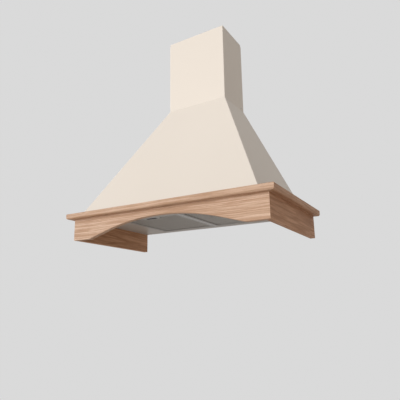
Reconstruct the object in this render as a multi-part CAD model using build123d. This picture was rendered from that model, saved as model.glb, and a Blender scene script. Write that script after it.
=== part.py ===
from build123d import *
import os
from math import acos, cos, pi, radians, sin

# A wall-mounted kitchen hood: an oak frame under a painted sheet-metal canopy and chimney.
# Millimetres. X runs along the wall, +Y points into the wall, +Z is up.
# Heights are counted from the lower edge of the oak frame. save() lowers every piece by
# fixing_height, so the origin is the centre of the four wall fixing holes, on the wall.

# ---- driving dimensions: oak frame -------------------------------------------------
frame_width = 848
frame_depth = 482
board_height = 87
board_thickness = 20
edge_easing = 1.2
arch_half_width = 339
arch_rise = 62
arch_flank_x = 265
arch_flank_height = 21.5
cornice_overhang = 26
cornice_height = 22
cornice_top_radius = 3
cornice_cove_width = 8
cornice_cove_height = 6.5
cornice_side_width = 85
cornice_front_width = 66
corner_block_leg = 30
corner_block_height = 58
corner_block_drop = 8
dowel_radius = 4
dowel_half_length = 15
side_fixing_back = 60
side_fixing_front = 62
front_dowel_xs = (-360, -180, 0, 180, 360)

# ---- driving dimensions: canopy and chimneys ---------------------------------------
sheet = 1.2
canopy_side_inset = 35.5
canopy_front_inset = 5
canopy_rise = 506
canopy_wall = 1.4
canopy_flange = 20
arris_radius = 3
chimney_width = 284
chimney_depth = 190
chimney_sheet = 1.0
chimney_return = 15
lower_chimney_height = 340
neck_height = 20
neck_play = 0.3
telescope_play = 0.6
overcut = 10
upper_reveal = 12
upper_seat_gap = 0.3
vent_count = 6
vent_length = 90
vent_width = 5
vent_pitch = 12
vent_drop = 45
chimney_screw_y = -25
ceiling_wing_depth = 30
ceiling_foot_depth = 26
ceiling_bracket_height = 34
bracket_sheet = 2
bracket_hole_spacing = 180
wall_strip_height = 40
wall_strip_drop = 60

# ---- driving dimensions: back panel and wall fixing ---------------------------------
fixing_height = 310
fixing_spacing_x = 370
fixing_spacing_z = 240
fixing_hole_radius = 4
bracket_hole_radius = 3.5
panel_play = 0.5

# ---- driving dimensions: underside panel and grease filters -------------------------
filter_opening_width = 550
filter_opening_back = 33
rim_height = 13
front_rim_height = 4
rim_relief = 12
centre_rail_width = 5
centre_rail_cap = 24
centre_rail_lap = 10
filter_height = 9
filter_bar = 13
filter_side_gap = 1.2
filter_rear_gap = 2.5
filter_front_gap = 1.5
filter_mesh_thickness = 4
filter_mesh_lap = 4
filter_mesh_play = 0.2
pivot_radius = 2
pivot_play = 0.06
pivot_inset = 5
pivot_reach = 3.2
latch_plate_width = 80
latch_plate_length = 34
latch_slot_width = 50
latch_slot_length = 15
latch_lip_thickness = 2
latch_lip_height = 5.6
latch_tongue_width = 24
latch_tongue_thickness = 1.8
latch_tongue_length = 26
latch_travel = 6
latch_play = 0.3

# ---- driving dimensions: lamps and push buttons ---------------------------------------
front_strip_inset = 77
front_strip_margin = 52
lamp_x = 250
lamp_can_radius = 27
lamp_can_height = 30
lamp_can_wall = 1.2
lamp_bezel_radius = 33
lamp_bezel_hole_radius = 23
lamp_bezel_thickness = 2
lamp_lens_thickness = 2
fit_play = 0.3
control_width = 150
control_length = 30
control_thickness = 2
switch_box_width = 141
switch_box_length = 23
switch_box_height = 29
switch_box_wall = 2
button_radius = 5.5
button_proud = 2.5
button_height = 14
button_edge = 0.9
button_collar_radius = 7.5
button_collar_height = 2
button_pitch = 26
button_names = ("button_light", "button_off", "button_low", "button_medium", "button_high")

# ---- driving dimensions: blower -----------------------------------------------------
fan_y = -165
fan_height = 380
housing_half_width = 80
housing_wall = 2
housing_top = 500
seam_rim = 6
seam_rim_thickness = 2
scroll_start_radius = 108
scroll_end_radius = 145
scroll_start_angle = radians(70)
scroll_steps = 14
inlet_radius = 70
inlet_lip_height = 6
wheel_radius = 90
wheel_band = 12
wheel_half_width = 64.5
wheel_ring = 3
blade_count = 32
blade_thickness = 1.4
blade_lean = 28
hub_radius = 12
hub_half_length = 9
shaft_radius = 4
shaft_play = 0.05
motor_radius = 46
motor_back = -74
motor_front = -14
motor_boss_radius = 15
motor_ring_radius = 84
motor_ring_band = 10
motor_foot_radius = 4
motor_arm_width = 12
motor_arm_count = 3
outlet_radius = 75
outlet_wall = 2
outlet_flange = 6
outlet_flange_thickness = 3
outlet_cone_height = 62
outlet_collar_height = 85
flap_pin_height = 577
flap_pin_radius = 2
flap_thickness = 1.5
flap_edge_gap = 1.2
flap_knuckle_radius = 3.5
flap_knuckle_gap = 0.5
flap_knuckle_half_span = 68
flap_root_gap = 0.8
flap_ledge_width = 4
flap_ledge_thickness = 2
blower_bracket_depth = 75
blower_bracket_foot = 28
blower_bracket_half_height = 45
rubber_radius = 8
rubber_thickness = 2
blower_screw_rise = 30
blower_screw_y = -50

# ---- driving dimensions: wiring boxes -------------------------------------------------
terminal_x = 132
terminal_height = 245
terminal_width = 80
terminal_depth = 35
terminal_rise = 60
terminal_wall = 2
gland_radius = 9
gland_flange_radius = 12
gland_bore_radius = 4
gland_length = 20
gland_flange_height = 4
capacitor_x = -245
capacitor_radius = 17.5
capacitor_length = 60
capacitor_cap_radius = 8
capacitor_cap_height = 6

# ---- driving dimensions: screws -------------------------------------------------------
screw_radius = 1.75
screw_head_radius = 3.5
screw_head_height = 1.6
wood_screw_length = 14
thread_play = 0.15
canopy_screw_xs = (-270, -90, 90, 270)
panel_screw_xs = (-330, -110, 110, 330)
panel_screw_inset = 14

# ---- sizes worked out from the driving dimensions ---------------------------------------
frame_half = frame_width / 2
board_inner_x = frame_half - board_thickness
board_inner_y = -(frame_depth - board_thickness)
cornice_half = frame_half + cornice_overhang
cornice_front_y = -(frame_depth + cornice_overhang)
cornice_inner_x = cornice_half - cornice_side_width
cornice_inner_y = cornice_front_y + cornice_front_width
cornice_top = board_height + cornice_height
side_fixing_last = frame_depth - side_fixing_front
side_fixing_ys = (-side_fixing_back, -(side_fixing_back + side_fixing_last) / 2, -side_fixing_last)
canopy_base_width = frame_width - 2 * canopy_side_inset
canopy_base_depth = frame_depth - canopy_front_inset
kink_height = cornice_top + canopy_rise
chimney_half = chimney_width / 2
neck_half = chimney_half - chimney_sheet - neck_play
neck_front_y = -(chimney_depth - chimney_sheet - neck_play)
neck_top = kink_height + neck_height
lower_chimney_top = kink_height + lower_chimney_height
upper_half = chimney_half - chimney_sheet - telescope_play
upper_front_y = -(chimney_depth - chimney_sheet - telescope_play)
upper_back_y = -(chimney_sheet + telescope_play)
upper_bottom = neck_top + upper_seat_gap
upper_top = lower_chimney_top + upper_reveal
panel_top = board_height
panel_bottom = panel_top - sheet
front_strip_y = -(frame_depth - front_strip_inset)
opening_half = filter_opening_width / 2
opening_back_y = -filter_opening_back
opening_front_y = front_strip_y + front_strip_margin
rim_top = panel_top + rim_height
front_rim_top = panel_top + front_rim_height
filter_inner_x = centre_rail_width / 2 + filter_side_gap
filter_outer_x = opening_half - filter_side_gap
filter_rear_y = opening_back_y - filter_rear_gap
filter_front_y = opening_front_y + filter_front_gap
filter_middle_x = (filter_inner_x + filter_outer_x) / 2
filter_top = panel_bottom + filter_height
pivot_y = filter_rear_y - pivot_inset
pivot_z = panel_bottom + filter_height / 2
tongue_offset = scroll_start_radius * cos(scroll_start_angle)
duct_y = -chimney_depth / 2
cone_bottom = housing_top + outlet_flange_thickness
cone_top = cone_bottom + outlet_cone_height
outlet_bore = outlet_radius - outlet_wall
bracket_inner_x = housing_half_width + rubber_thickness
panel_front_y = -sheet


# ---- helpers ----------------------------------------------------------------------------
def block(x, y, z):
    """A box between the two ends given for each direction."""
    middle = Pos((x[0] + x[1]) / 2, (y[0] + y[1]) / 2, (z[0] + z[1]) / 2)
    return middle * Box(x[1] - x[0], y[1] - y[0], z[1] - z[0])


def rod(start, direction, radius, length):
    """A round bar that runs from a point along a direction."""
    return extrude(Plane(origin=start, z_dir=direction) * Circle(radius), length)


def tube(start, direction, outer_radius, inner_radius, length):
    """A round bar with a bore right through it."""
    ring = Circle(outer_radius) - Circle(inner_radius)
    return extrude(Plane(origin=start, z_dir=direction) * ring, length)


def prism(points, bottom, top):
    """A plan outline raised from one height to another."""
    return Pos(0, 0, bottom) * extrude(make_face(Polyline(*points, close=True)), top - bottom)


def opposite(direction):
    return tuple(-part for part in direction)


def screw(seat, direction, length):
    """A pan-head screw whose head lies on the seat and whose shank runs along the direction."""
    shank = rod(seat, direction, screw_radius, length)
    return shank + rod(seat, opposite(direction), screw_head_radius, screw_head_height)


def other_side(shape):
    """The same piece on the other side of the hood's middle."""
    return mirror(shape, about=Plane.YZ)


def group(pieces):
    """Like pieces kept as separate solids in one file."""
    return Compound(children=[solid for piece in pieces for solid in piece.solids()])


def save(name, shape):
    export_step(Pos(0, 0, -fixing_height) * shape, "parts/" + name + ".step")


# ---- oak frame --------------------------------------------------------------------------
def side_dowel_points():
    x = frame_half - board_thickness / 2
    return [(side * x, y, board_height - dowel_half_length) for side in (-1, 1) for y in side_fixing_ys]


def front_dowel_points():
    y = -(frame_depth - board_thickness / 2)
    return [(x, y, board_height - dowel_half_length) for x in front_dowel_xs]


def dowels(play):
    """Beech dowels that join the boards to the cornice, or with play, the holes for them."""
    points = side_dowel_points() + front_dowel_points()
    length = 2 * dowel_half_length
    return [rod(point, (0, 0, 1), dowel_radius + play, length) for point in points]


def valance():
    """Front board with its arch: one wide arc that runs out in two short counter curves."""
    arch_end = (arch_flank_x, arch_flank_height)
    arch = ThreePointArc((-arch_flank_x, arch_flank_height), (0, arch_rise), arch_end)
    flank = TangentArc(arch_end, (arch_half_width, 0), tangent=arch % 1)
    ends = Polyline(
        (arch_half_width, 0),
        (frame_half, 0),
        (frame_half, board_height),
        (-frame_half, board_height),
        (-frame_half, 0),
        (-arch_half_width, 0),
    )
    outline = make_face(arch + flank + mirror(flank, about=Plane.YZ) + ends)
    board = Pos(0, board_inner_y, 0) * extrude(Plane.XZ * outline, board_thickness)
    mitred = prism(
        [
            (-frame_half, -frame_depth),
            (frame_half, -frame_depth),
            (board_inner_x, board_inner_y),
            (-board_inner_x, board_inner_y),
        ],
        0,
        board_height,
    )
    board = board & mitred
    lower_edges = board.edges().filter_by(is_lower_edge)
    board = fillet(lower_edges, edge_easing)
    return board - dowels(thread_play)


def is_lower_edge(edge):
    """True for the long edges under the valance, on its front and on its back."""
    size = edge.bounding_box().size
    return size.Y < edge_easing and size.X > board_thickness and edge.center().Z < board_height - edge_easing


def side_board(side):
    """Side board, mitred to the valance and plain at the wall."""
    board = prism(
        [
            (-frame_half, -frame_depth),
            (-board_inner_x, board_inner_y),
            (-board_inner_x, 0),
            (-frame_half, 0),
        ],
        0,
        board_height,
    )
    lower = board.edges().filter_by(Axis.Y).group_by(Axis.Z)[0]
    board = fillet(lower, edge_easing)
    board = board if side < 0 else other_side(board)
    return board - dowels(thread_play)


def cornice_profile(width):
    """Section of the cornice: x inwards from its outer edge, y up from its underside."""
    slant = cos(pi / 4)
    cove_middle = (cornice_cove_width * (1 - slant), cornice_cove_height * (1 - slant))
    top_rise = cornice_height - cornice_top_radius
    top_middle = (cornice_top_radius * (1 - slant), top_rise + cornice_top_radius * slant)
    outline = [
        Line((width, 0), (cornice_cove_width, 0)),
        ThreePointArc((cornice_cove_width, 0), cove_middle, (0, cornice_cove_height)),
        Line((0, cornice_cove_height), (0, top_rise)),
        ThreePointArc((0, top_rise), top_middle, (cornice_top_radius, cornice_height)),
        Line((cornice_top_radius, cornice_height), (width, cornice_height)),
        Line((width, cornice_height), (width, 0)),
    ]
    return make_face(Curve() + outline)


def cornice_mitre_x():
    return cornice_half - cornice_front_width


def cornice_front():
    """Front length of the cornice, mitred at both ends."""
    place = Plane(origin=(-cornice_half, cornice_front_y, board_height), x_dir=(0, 1, 0), z_dir=(1, 0, 0))
    moulding = extrude(place * cornice_profile(cornice_front_width), 2 * cornice_half)
    mitred = prism(
        [
            (-cornice_half, cornice_front_y),
            (cornice_half, cornice_front_y),
            (cornice_mitre_x(), cornice_inner_y),
            (-cornice_mitre_x(), cornice_inner_y),
        ],
        board_height,
        cornice_top,
    )
    return (moulding & mitred) - dowels(thread_play) - canopy_screw_holes() - panel_screw_holes()


def cornice_side(side):
    """Side length of the cornice: mitred over the moulding, square behind the front length."""
    place = Plane(origin=(-cornice_half, 0, board_height), x_dir=(1, 0, 0), z_dir=(0, -1, 0))
    moulding = extrude(place * cornice_profile(cornice_side_width), -cornice_front_y)
    mitred = prism(
        [
            (-cornice_half, cornice_front_y),
            (-cornice_mitre_x(), cornice_inner_y),
            (-cornice_inner_x, cornice_inner_y),
            (-cornice_inner_x, 0),
            (-cornice_half, 0),
        ],
        board_height,
        cornice_top,
    )
    piece = moulding & mitred
    piece = piece if side < 0 else other_side(piece)
    return piece - dowels(thread_play) - canopy_screw_holes() - panel_screw_holes()


def corner_block(side):
    """Glued triangular block behind the mitre of valance and side board."""
    top = panel_bottom - corner_block_drop
    piece = prism(
        [
            (-board_inner_x, board_inner_y),
            (-board_inner_x + corner_block_leg, board_inner_y),
            (-board_inner_x, board_inner_y + corner_block_leg),
        ],
        top - corner_block_height,
        top,
    )
    return piece if side < 0 else other_side(piece)


# ---- canopy -----------------------------------------------------------------------------
def canopy_half(height):
    """Half the canopy's outer width at a height."""
    share = (height - cornice_top) / canopy_rise
    return canopy_base_width / 2 + (chimney_half - canopy_base_width / 2) * share


def canopy_front(height):
    """The canopy's outer front at a height, as a distance from the wall."""
    share = (height - cornice_top) / canopy_rise
    return canopy_base_depth + (chimney_depth - canopy_base_depth) * share


def canopy_slice(height, inset, back):
    half = canopy_half(height) - inset
    front = -(canopy_front(height) - inset)
    corners = [(-half, front, height), (half, front, height), (half, back, height), (-half, back, height)]
    return Wire.make_polygon(corners, close=True)


def canopy_core(inset, back, radius):
    """The sloping body as a solid, drawn in by the inset, with its two front arrises rounded."""
    bottom = canopy_slice(cornice_top, inset, back)
    top = canopy_slice(kink_height, inset, back)
    core = Solid.make_loft([bottom, top], ruled=True)
    arrises = core.edges().filter_by(is_arris)
    return fillet(arrises, radius)


def is_arris(edge):
    return edge.bounding_box().size.Z > canopy_rise / 2 and edge.center().Y < -chimney_depth


def canopy_shell():
    """Slopes, the inward flange at their foot and the narrow ledge at their head."""
    outer = canopy_core(0, 0, arris_radius)
    inner = canopy_core(canopy_wall, overcut, arris_radius - canopy_wall)
    shell = outer - inner
    flange_half = canopy_base_width / 2 - canopy_flange
    flange_front = -(canopy_base_depth - canopy_flange)
    reach = canopy_base_width
    foot = outer & block((-reach, reach), (-reach, reach), (cornice_top, cornice_top + sheet))
    foot = foot - block((-flange_half, flange_half), (flange_front, reach), (0, kink_height))
    ledge = outer & block((-reach, reach), (-reach, reach), (kink_height - sheet, kink_height))
    ledge_half = neck_half - sheet
    ledge = ledge - block((-ledge_half, ledge_half), (neck_front_y + sheet, reach), (0, neck_top))
    return shell + foot + ledge - canopy_screw_holes()


def neck():
    """Upright collar at the canopy's head that the lower chimney slips over."""
    back_y = -(chimney_sheet + neck_play)
    outer = block((-neck_half, neck_half), (neck_front_y, back_y), (kink_height, neck_top))
    corners = outer.edges().filter_by(Axis.Z).group_by(Axis.Y)[0]
    outer = fillet(corners, arris_radius - chimney_sheet)
    inner_half = neck_half - sheet
    inner = block((-inner_half, inner_half), (neck_front_y + sheet, sheet), (kink_height, neck_top))
    return outer - inner - chimney_screw_holes()


def mitre_plane(side):
    """The weld plane of one arris: it faces the front sheet."""
    corner = Vector(side * canopy_base_width / 2, -canopy_base_depth, cornice_top)
    head = Vector(side * chimney_half, -chimney_depth, kink_height)
    inwards = Vector(-side, 1, 0)
    normal = (head - corner).cross(inwards) * side
    return Plane(origin=corner, z_dir=normal)


def neck_plane(side):
    return Plane(origin=(side * neck_half, neck_front_y, kink_height), z_dir=(-side, -1, 0))


def canopy_front_sheet():
    slope = split(canopy_shell(), bisect_by=mitre_plane(1), keep=Keep.TOP)
    slope = split(slope, bisect_by=mitre_plane(-1), keep=Keep.TOP)
    collar = split(neck(), bisect_by=neck_plane(1), keep=Keep.TOP)
    collar = split(collar, bisect_by=neck_plane(-1), keep=Keep.TOP)
    return slope + collar


def canopy_side_sheet(side):
    slope = split(canopy_shell(), bisect_by=mitre_plane(side), keep=Keep.BOTTOM)
    collar = split(neck(), bisect_by=neck_plane(side), keep=Keep.BOTTOM)
    return slope + collar


def canopy_screw_points():
    side_x = canopy_base_width / 2 - canopy_flange / 2
    front_y = -(canopy_base_depth - canopy_flange / 2)
    sides = [(side * side_x, y) for side in (-1, 1) for y in side_fixing_ys]
    return sides + [(x, front_y) for x in canopy_screw_xs]


def canopy_screws():
    """Screws through the canopy's flange down into the cornice."""
    seat = cornice_top + sheet
    return [screw((x, y, seat), (0, 0, -1), wood_screw_length) for x, y in canopy_screw_points()]


def canopy_screw_holes():
    seat = cornice_top + sheet
    radius = screw_radius + thread_play
    return [rod((x, y, seat), (0, 0, -1), radius, wood_screw_length) for x, y in canopy_screw_points()]


# ---- chimneys -----------------------------------------------------------------------------
def chimney_section(half, front, back, radius):
    """Plan of a chimney cover: a channel open to the wall, with a narrow return each side."""
    outer = make_face(Polyline((-half, front), (half, front), (half, back), (-half, back), close=True))
    outer = fillet(outer.vertices().group_by(Axis.Y)[0], radius)
    inside = half - chimney_sheet
    near = front + chimney_sheet
    far = back - chimney_sheet
    inner = make_face(Polyline((-inside, near), (inside, near), (inside, far), (-inside, far), close=True))
    inner = fillet(inner.vertices().group_by(Axis.Y)[0], radius - chimney_sheet)
    mouth_half = half - chimney_return
    mouth = Pos(0, back, 0) * Rectangle(2 * mouth_half, overcut)
    return outer - inner - mouth


def lower_chimney():
    section = chimney_section(chimney_half, -chimney_depth, 0, arris_radius)
    cover = Pos(0, 0, kink_height) * extrude(section, lower_chimney_height)
    return cover - chimney_screw_holes()


def vent_cutter():
    """Row of level slots cut through both sides of the upper chimney."""
    slots = Box(2 * chimney_width, vent_length, vent_width)
    first = upper_top - vent_drop
    return [Pos(0, duct_y, first - index * vent_pitch) * slots for index in range(vent_count)]


def upper_chimney():
    """Inner cover that slides up out of the lower one to reach the ceiling."""
    section = chimney_section(upper_half, upper_front_y, upper_back_y, arris_radius - chimney_sheet)
    cover = Pos(0, 0, upper_bottom) * extrude(section, upper_top - upper_bottom)
    return cover - vent_cutter() - ceiling_screw_holes()


def chimney_screw_seats():
    """Seats and directions of the two screws that hold the lower chimney to the neck."""
    height = kink_height + neck_height / 2
    return [((side * chimney_half, chimney_screw_y, height), (-side, 0, 0)) for side in (-1, 1)]


def chimney_screw_length():
    return chimney_sheet + neck_play + sheet + fit_play


def chimney_screws():
    return [screw(seat, way, chimney_screw_length()) for seat, way in chimney_screw_seats()]


def chimney_screw_holes():
    radius = screw_radius + thread_play
    return [rod(seat, way, radius, chimney_screw_length()) for seat, way in chimney_screw_seats()]


def ceiling_screw_seats():
    height = lower_chimney_top + upper_reveal / 2
    y = -(ceiling_wing_depth + ceiling_foot_depth / 2)
    return [((side * upper_half, y, height), (-side, 0, 0)) for side in (-1, 1)]


def ceiling_screw_length():
    return chimney_sheet + bracket_sheet + fit_play


def ceiling_screws():
    return [screw(seat, way, ceiling_screw_length()) for seat, way in ceiling_screw_seats()]


def ceiling_screw_holes():
    radius = screw_radius + thread_play
    return [rod(seat, way, radius, ceiling_screw_length()) for seat, way in ceiling_screw_seats()]


def bracket_holes(height):
    """The two wall holes of a chimney bracket."""
    start = sheet
    depth = bracket_sheet + 2 * sheet
    xs = (-bracket_hole_spacing / 2, bracket_hole_spacing / 2)
    return [rod((x, start, height), (0, -1, 0), bracket_hole_radius, depth) for x in xs]


def ceiling_bracket():
    """Bent strip: web on the wall, wings forward and feet against the upper chimney's sides."""
    top = upper_top - fit_play
    rise = (top - ceiling_bracket_height, top)
    web_half = upper_half - chimney_return - fit_play
    foot_half = upper_half - chimney_sheet
    wing_y = -ceiling_wing_depth
    foot_y = wing_y - ceiling_foot_depth
    web = block((-web_half, web_half), (-bracket_sheet, 0), rise)
    wing = block((-web_half, -web_half + bracket_sheet), (wing_y, 0), rise)
    step = block((-foot_half, -web_half + bracket_sheet), (wing_y, wing_y + bracket_sheet), rise)
    foot = block((-foot_half, -foot_half + bracket_sheet), (foot_y, wing_y + bracket_sheet), rise)
    arm = wing + step + foot
    bracket = web + arm + other_side(arm)
    return bracket - bracket_holes(sum(rise) / 2) - ceiling_screw_holes()


def chimney_wall_strip():
    """Flat wall strip between the lower chimney's returns, which keeps it upright."""
    top = lower_chimney_top - wall_strip_drop
    rise = (top - wall_strip_height, top)
    half = chimney_half - chimney_return - fit_play
    strip = block((-half, half), (-sheet, 0), rise)
    return strip - bracket_holes(sum(rise) / 2)


# ---- back panel -----------------------------------------------------------------------------
def back_panel():
    """Plate across the canopy's back that carries the hood on the wall and holds the blower."""
    foot_half = cornice_inner_x - panel_play
    shoulder = cornice_top + sheet + panel_play
    head = kink_height - sheet - panel_play
    wide = canopy_half(shoulder) - canopy_wall - panel_play
    narrow = canopy_half(head) - canopy_wall - panel_play
    outline = Polyline(
        (-foot_half, panel_bottom),
        (foot_half, panel_bottom),
        (foot_half, shoulder),
        (wide, shoulder),
        (narrow, head),
        (-narrow, head),
        (-wide, shoulder),
        (-foot_half, shoulder),
        close=True,
    )
    plate = extrude(Plane.XZ * make_face(outline), sheet)
    return plate - fixing_holes() - back_screw_holes() - rear_screw_holes()


def fixing_holes():
    xs = (-fixing_spacing_x / 2, fixing_spacing_x / 2)
    zs = (fixing_height - fixing_spacing_z / 2, fixing_height + fixing_spacing_z / 2)
    return [rod((x, sheet, z), (0, -1, 0), fixing_hole_radius, 3 * sheet) for x in xs for z in zs]


# ---- underside panel ------------------------------------------------------------------------
def panel_screw_points():
    side_x = board_inner_x - panel_screw_inset
    front_y = (board_inner_y + cornice_inner_y) / 2
    sides = [(side * side_x, y) for side in (-1, 1) for y in side_fixing_ys]
    return sides + [(x, front_y) for x in panel_screw_xs]


def panel_screw_holes():
    radius = screw_radius + thread_play
    return [rod((x, y, panel_bottom), (0, 0, 1), radius, wood_screw_length) for x, y in panel_screw_points()]


def rear_screw_seats():
    y = -2 * sheet
    z = panel_top + rim_height / 2
    return [(x, y, z) for x in panel_screw_xs]


def rear_screw_holes():
    radius = screw_radius + thread_play
    return [rod(seat, (0, 1, 0), radius, 2 * sheet) for seat in rear_screw_seats()]


def panel_screws():
    """Screws through the panel's margin up into the cornice."""
    return [screw((x, y, panel_bottom), (0, 0, 1), wood_screw_length) for x, y in panel_screw_points()]


def rear_screws():
    """Screws through the panel's upstand into the back panel."""
    return [screw(seat, (0, 1, 0), 2 * sheet) for seat in rear_screw_seats()]


def pivot_holes():
    """Holes in the opening's side rims for the filters' outer pivots."""
    start = (-opening_half - 2 * sheet, pivot_y, pivot_z)
    return rod(start, (1, 0, 0), pivot_radius + pivot_play, 2 * opening_half + 4 * sheet)


def front_rim_room():
    """Space over the low front rim, on which the latches slide, and at the open corners beside it."""
    outer = opening_half + sheet
    over = block((-outer, outer), (opening_front_y - sheet, opening_front_y), (front_rim_top, rim_top))
    ends = (opening_front_y - sheet, opening_front_y + rim_relief)
    return over + block((-outer, outer), ends, (panel_top, rim_top)) - front_rim()


def front_rim():
    half = opening_half - rim_relief
    return block((-half, half), (opening_front_y - sheet, opening_front_y), (panel_top, front_rim_top))


def underside_panel():
    """Flat sheet under the hood with a rimmed filter opening, lamp holes and a switch cut-out."""
    half = board_inner_x - panel_play
    front = board_inner_y + panel_play
    rear = -sheet
    plate = block((-half, half), (front, rear), (panel_bottom, panel_top))
    outer = opening_half + sheet
    rim_y = (opening_front_y - sheet, opening_back_y + sheet)
    rim = block((-outer, outer), rim_y, (panel_bottom, rim_top)) - front_rim_room()
    opening = block((-opening_half, opening_half), (opening_front_y, opening_back_y), (0, kink_height))
    back_half = cornice_inner_x - panel_play
    upstand = block((-back_half, back_half), (rear - sheet, rear), (panel_bottom, rim_top))
    lamp_radius = lamp_can_radius + fit_play
    lamps = [rod((side * lamp_x, front_strip_y, 0), (0, 0, 1), lamp_radius, rim_top) for side in (-1, 1)]
    box_half = switch_box_width / 2 + fit_play
    box_reach = switch_box_length / 2 + fit_play
    box_y = (front_strip_y - box_reach, front_strip_y + box_reach)
    switch = block((-box_half, box_half), box_y, (0, rim_top))
    panel = plate + rim + upstand - opening - lamps - switch
    return panel - pivot_holes() - panel_screw_holes() - rear_screw_holes()


def centre_rail():
    """Narrow bar between the filters: its cap lies on the rear rim and stands on a foot in front."""
    half = centre_rail_width / 2
    web = block((-half, half), (opening_front_y, opening_back_y), (panel_bottom, rim_top))
    cap_y = (opening_front_y - centre_rail_lap, opening_back_y + centre_rail_lap)
    cap_x = (-centre_rail_cap / 2, centre_rail_cap / 2)
    cap = block(cap_x, cap_y, (rim_top, rim_top + sheet))
    foot = block(cap_x, (cap_y[0], cap_y[0] + sheet), (panel_top, rim_top))
    socket_depth = pivot_reach - filter_side_gap + pivot_play
    radius = pivot_radius + pivot_play
    left = rod((-half, pivot_y, pivot_z), (1, 0, 0), radius, socket_depth)
    return web + cap + foot - left - other_side(left)


# ---- grease filters -------------------------------------------------------------------------
def filter_window(margin):
    """The mesh area of the left filter, grown by a margin."""
    x = (-filter_outer_x + filter_bar - margin, -filter_inner_x - filter_bar + margin)
    y = (filter_front_y + filter_bar - margin, filter_rear_y - filter_bar + margin)
    return x, y


def latch_area(margin):
    half = latch_plate_width / 2 + margin
    x = (-filter_middle_x - half, -filter_middle_x + half)
    y = (filter_front_y, filter_front_y + latch_plate_length + margin)
    return x, y


def filter_mesh(side):
    """Pad of expanded aluminium, held in the frame's groove."""
    x, y = filter_window(filter_mesh_lap)
    middle = panel_bottom + filter_height / 2
    z = (middle - filter_mesh_thickness / 2, middle + filter_mesh_thickness / 2)
    notch_x, notch_y = latch_area(filter_mesh_play)
    pad = block(x, y, z) - block(notch_x, notch_y, (0, rim_top))
    return pad if side < 0 else other_side(pad)


def filter_frame(side):
    """Aluminium frame with a mesh groove, two pivot studs and the channel of the latch's tongue."""
    body_x = (-filter_outer_x, -filter_inner_x)
    body = block(body_x, (filter_front_y, filter_rear_y), (panel_bottom, filter_top))
    window_x, window_y = filter_window(0)
    groove_x, groove_y = filter_window(filter_mesh_lap + filter_mesh_play)
    middle = panel_bottom + filter_height / 2
    groove_half = filter_mesh_thickness / 2 + filter_mesh_play
    window = block(window_x, window_y, (0, rim_top))
    groove = block(groove_x, groove_y, (middle - groove_half, middle + groove_half))
    outer_stud = rod((-filter_outer_x, pivot_y, pivot_z), (-1, 0, 0), pivot_radius, pivot_reach)
    inner_stud = rod((-filter_inner_x, pivot_y, pivot_z), (1, 0, 0), pivot_radius, pivot_reach - pivot_play)
    frame = body - window - groove + outer_stud + inner_stud - latch_room()
    return frame if side < 0 else other_side(frame)


def latch_plate(side):
    """Plate with the finger slot, fixed to the frame's front bar between the ends of the mesh."""
    plate_x, plate_y = latch_area(0)
    bar_end = filter_front_y + filter_bar
    plate = block(plate_x, (bar_end, plate_y[1]), (panel_bottom, filter_top)) - latch_room()
    return plate if side < 0 else other_side(plate)


def latch_levels():
    """Underside and top of the latch's tongue."""
    bottom = panel_bottom + latch_play + latch_lip_height
    return bottom, bottom + latch_tongue_thickness


def latch_room():
    """Finger slot, open below, and the channel in which the tongue slides."""
    slot_start = filter_front_y + filter_bar
    slot_half = latch_slot_width / 2
    slot_x = (-filter_middle_x - slot_half, -filter_middle_x + slot_half)
    bottom, top = latch_levels()
    slot = block(slot_x, (slot_start, slot_start + latch_slot_length), (0, bottom))
    channel_half = latch_tongue_width / 2 + latch_play
    channel_x = (-filter_middle_x - channel_half, -filter_middle_x + channel_half)
    channel_end = filter_front_y + latch_tongue_length + latch_travel + latch_play
    channel = block(channel_x, (filter_front_y, channel_end), (bottom - latch_play, top + latch_play))
    return slot + channel


def filter_latch(side):
    """Sliding latch: a finger lip in the slot and a tongue that reaches the opening's rim."""
    bottom, top = latch_levels()
    tip = filter_front_y - filter_front_gap + latch_play
    half = latch_tongue_width / 2
    tongue_x = (-filter_middle_x - half, -filter_middle_x + half)
    tongue = block(tongue_x, (tip, filter_front_y + latch_tongue_length), (bottom, top))
    lip_start = filter_front_y + filter_bar + latch_play
    lip_y = (lip_start, lip_start + latch_lip_thickness)
    lip_half = latch_slot_width / 2 - latch_play
    lip_x = (-filter_middle_x - lip_half, -filter_middle_x + lip_half)
    lip = block(lip_x, lip_y, (panel_bottom + latch_play, bottom - latch_play))
    root = block(tongue_x, lip_y, (bottom - latch_play, bottom))
    latch = tongue + root + lip
    return latch if side < 0 else other_side(latch)


# ---- lamps and push buttons -----------------------------------------------------------------
def lamp_can(side):
    """Turned aluminium can of the lamp, open below."""
    start = (side * lamp_x, front_strip_y, panel_bottom)
    inside = (side * lamp_x, front_strip_y, 0)
    can = rod(start, (0, 0, 1), lamp_can_radius, lamp_can_height)
    room_height = panel_bottom + lamp_can_height - 2 * lamp_can_wall
    return can - rod(inside, (0, 0, 1), lamp_can_radius - lamp_can_wall, room_height)


def lamp_bezel(side):
    """Ring under the panel that covers the hole and holds the lens."""
    start = (side * lamp_x, front_strip_y, panel_bottom)
    ring = tube(start, (0, 0, -1), lamp_bezel_radius, lamp_bezel_hole_radius, lamp_bezel_thickness)
    outer_edges = ring.edges().group_by(Axis.Z)[0].sort_by(SortBy.LENGTH)[-1:]
    return fillet(outer_edges, lamp_bezel_thickness / 2)


def lamp_lens(side):
    start = (side * lamp_x, front_strip_y, panel_bottom + thread_play)
    radius = lamp_can_radius - lamp_can_wall - fit_play
    return rod(start, (0, 0, 1), radius, lamp_lens_thickness)


def button_xs():
    middle = (len(button_names) - 1) / 2
    return [(index - middle) * button_pitch for index in range(len(button_names))]


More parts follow.
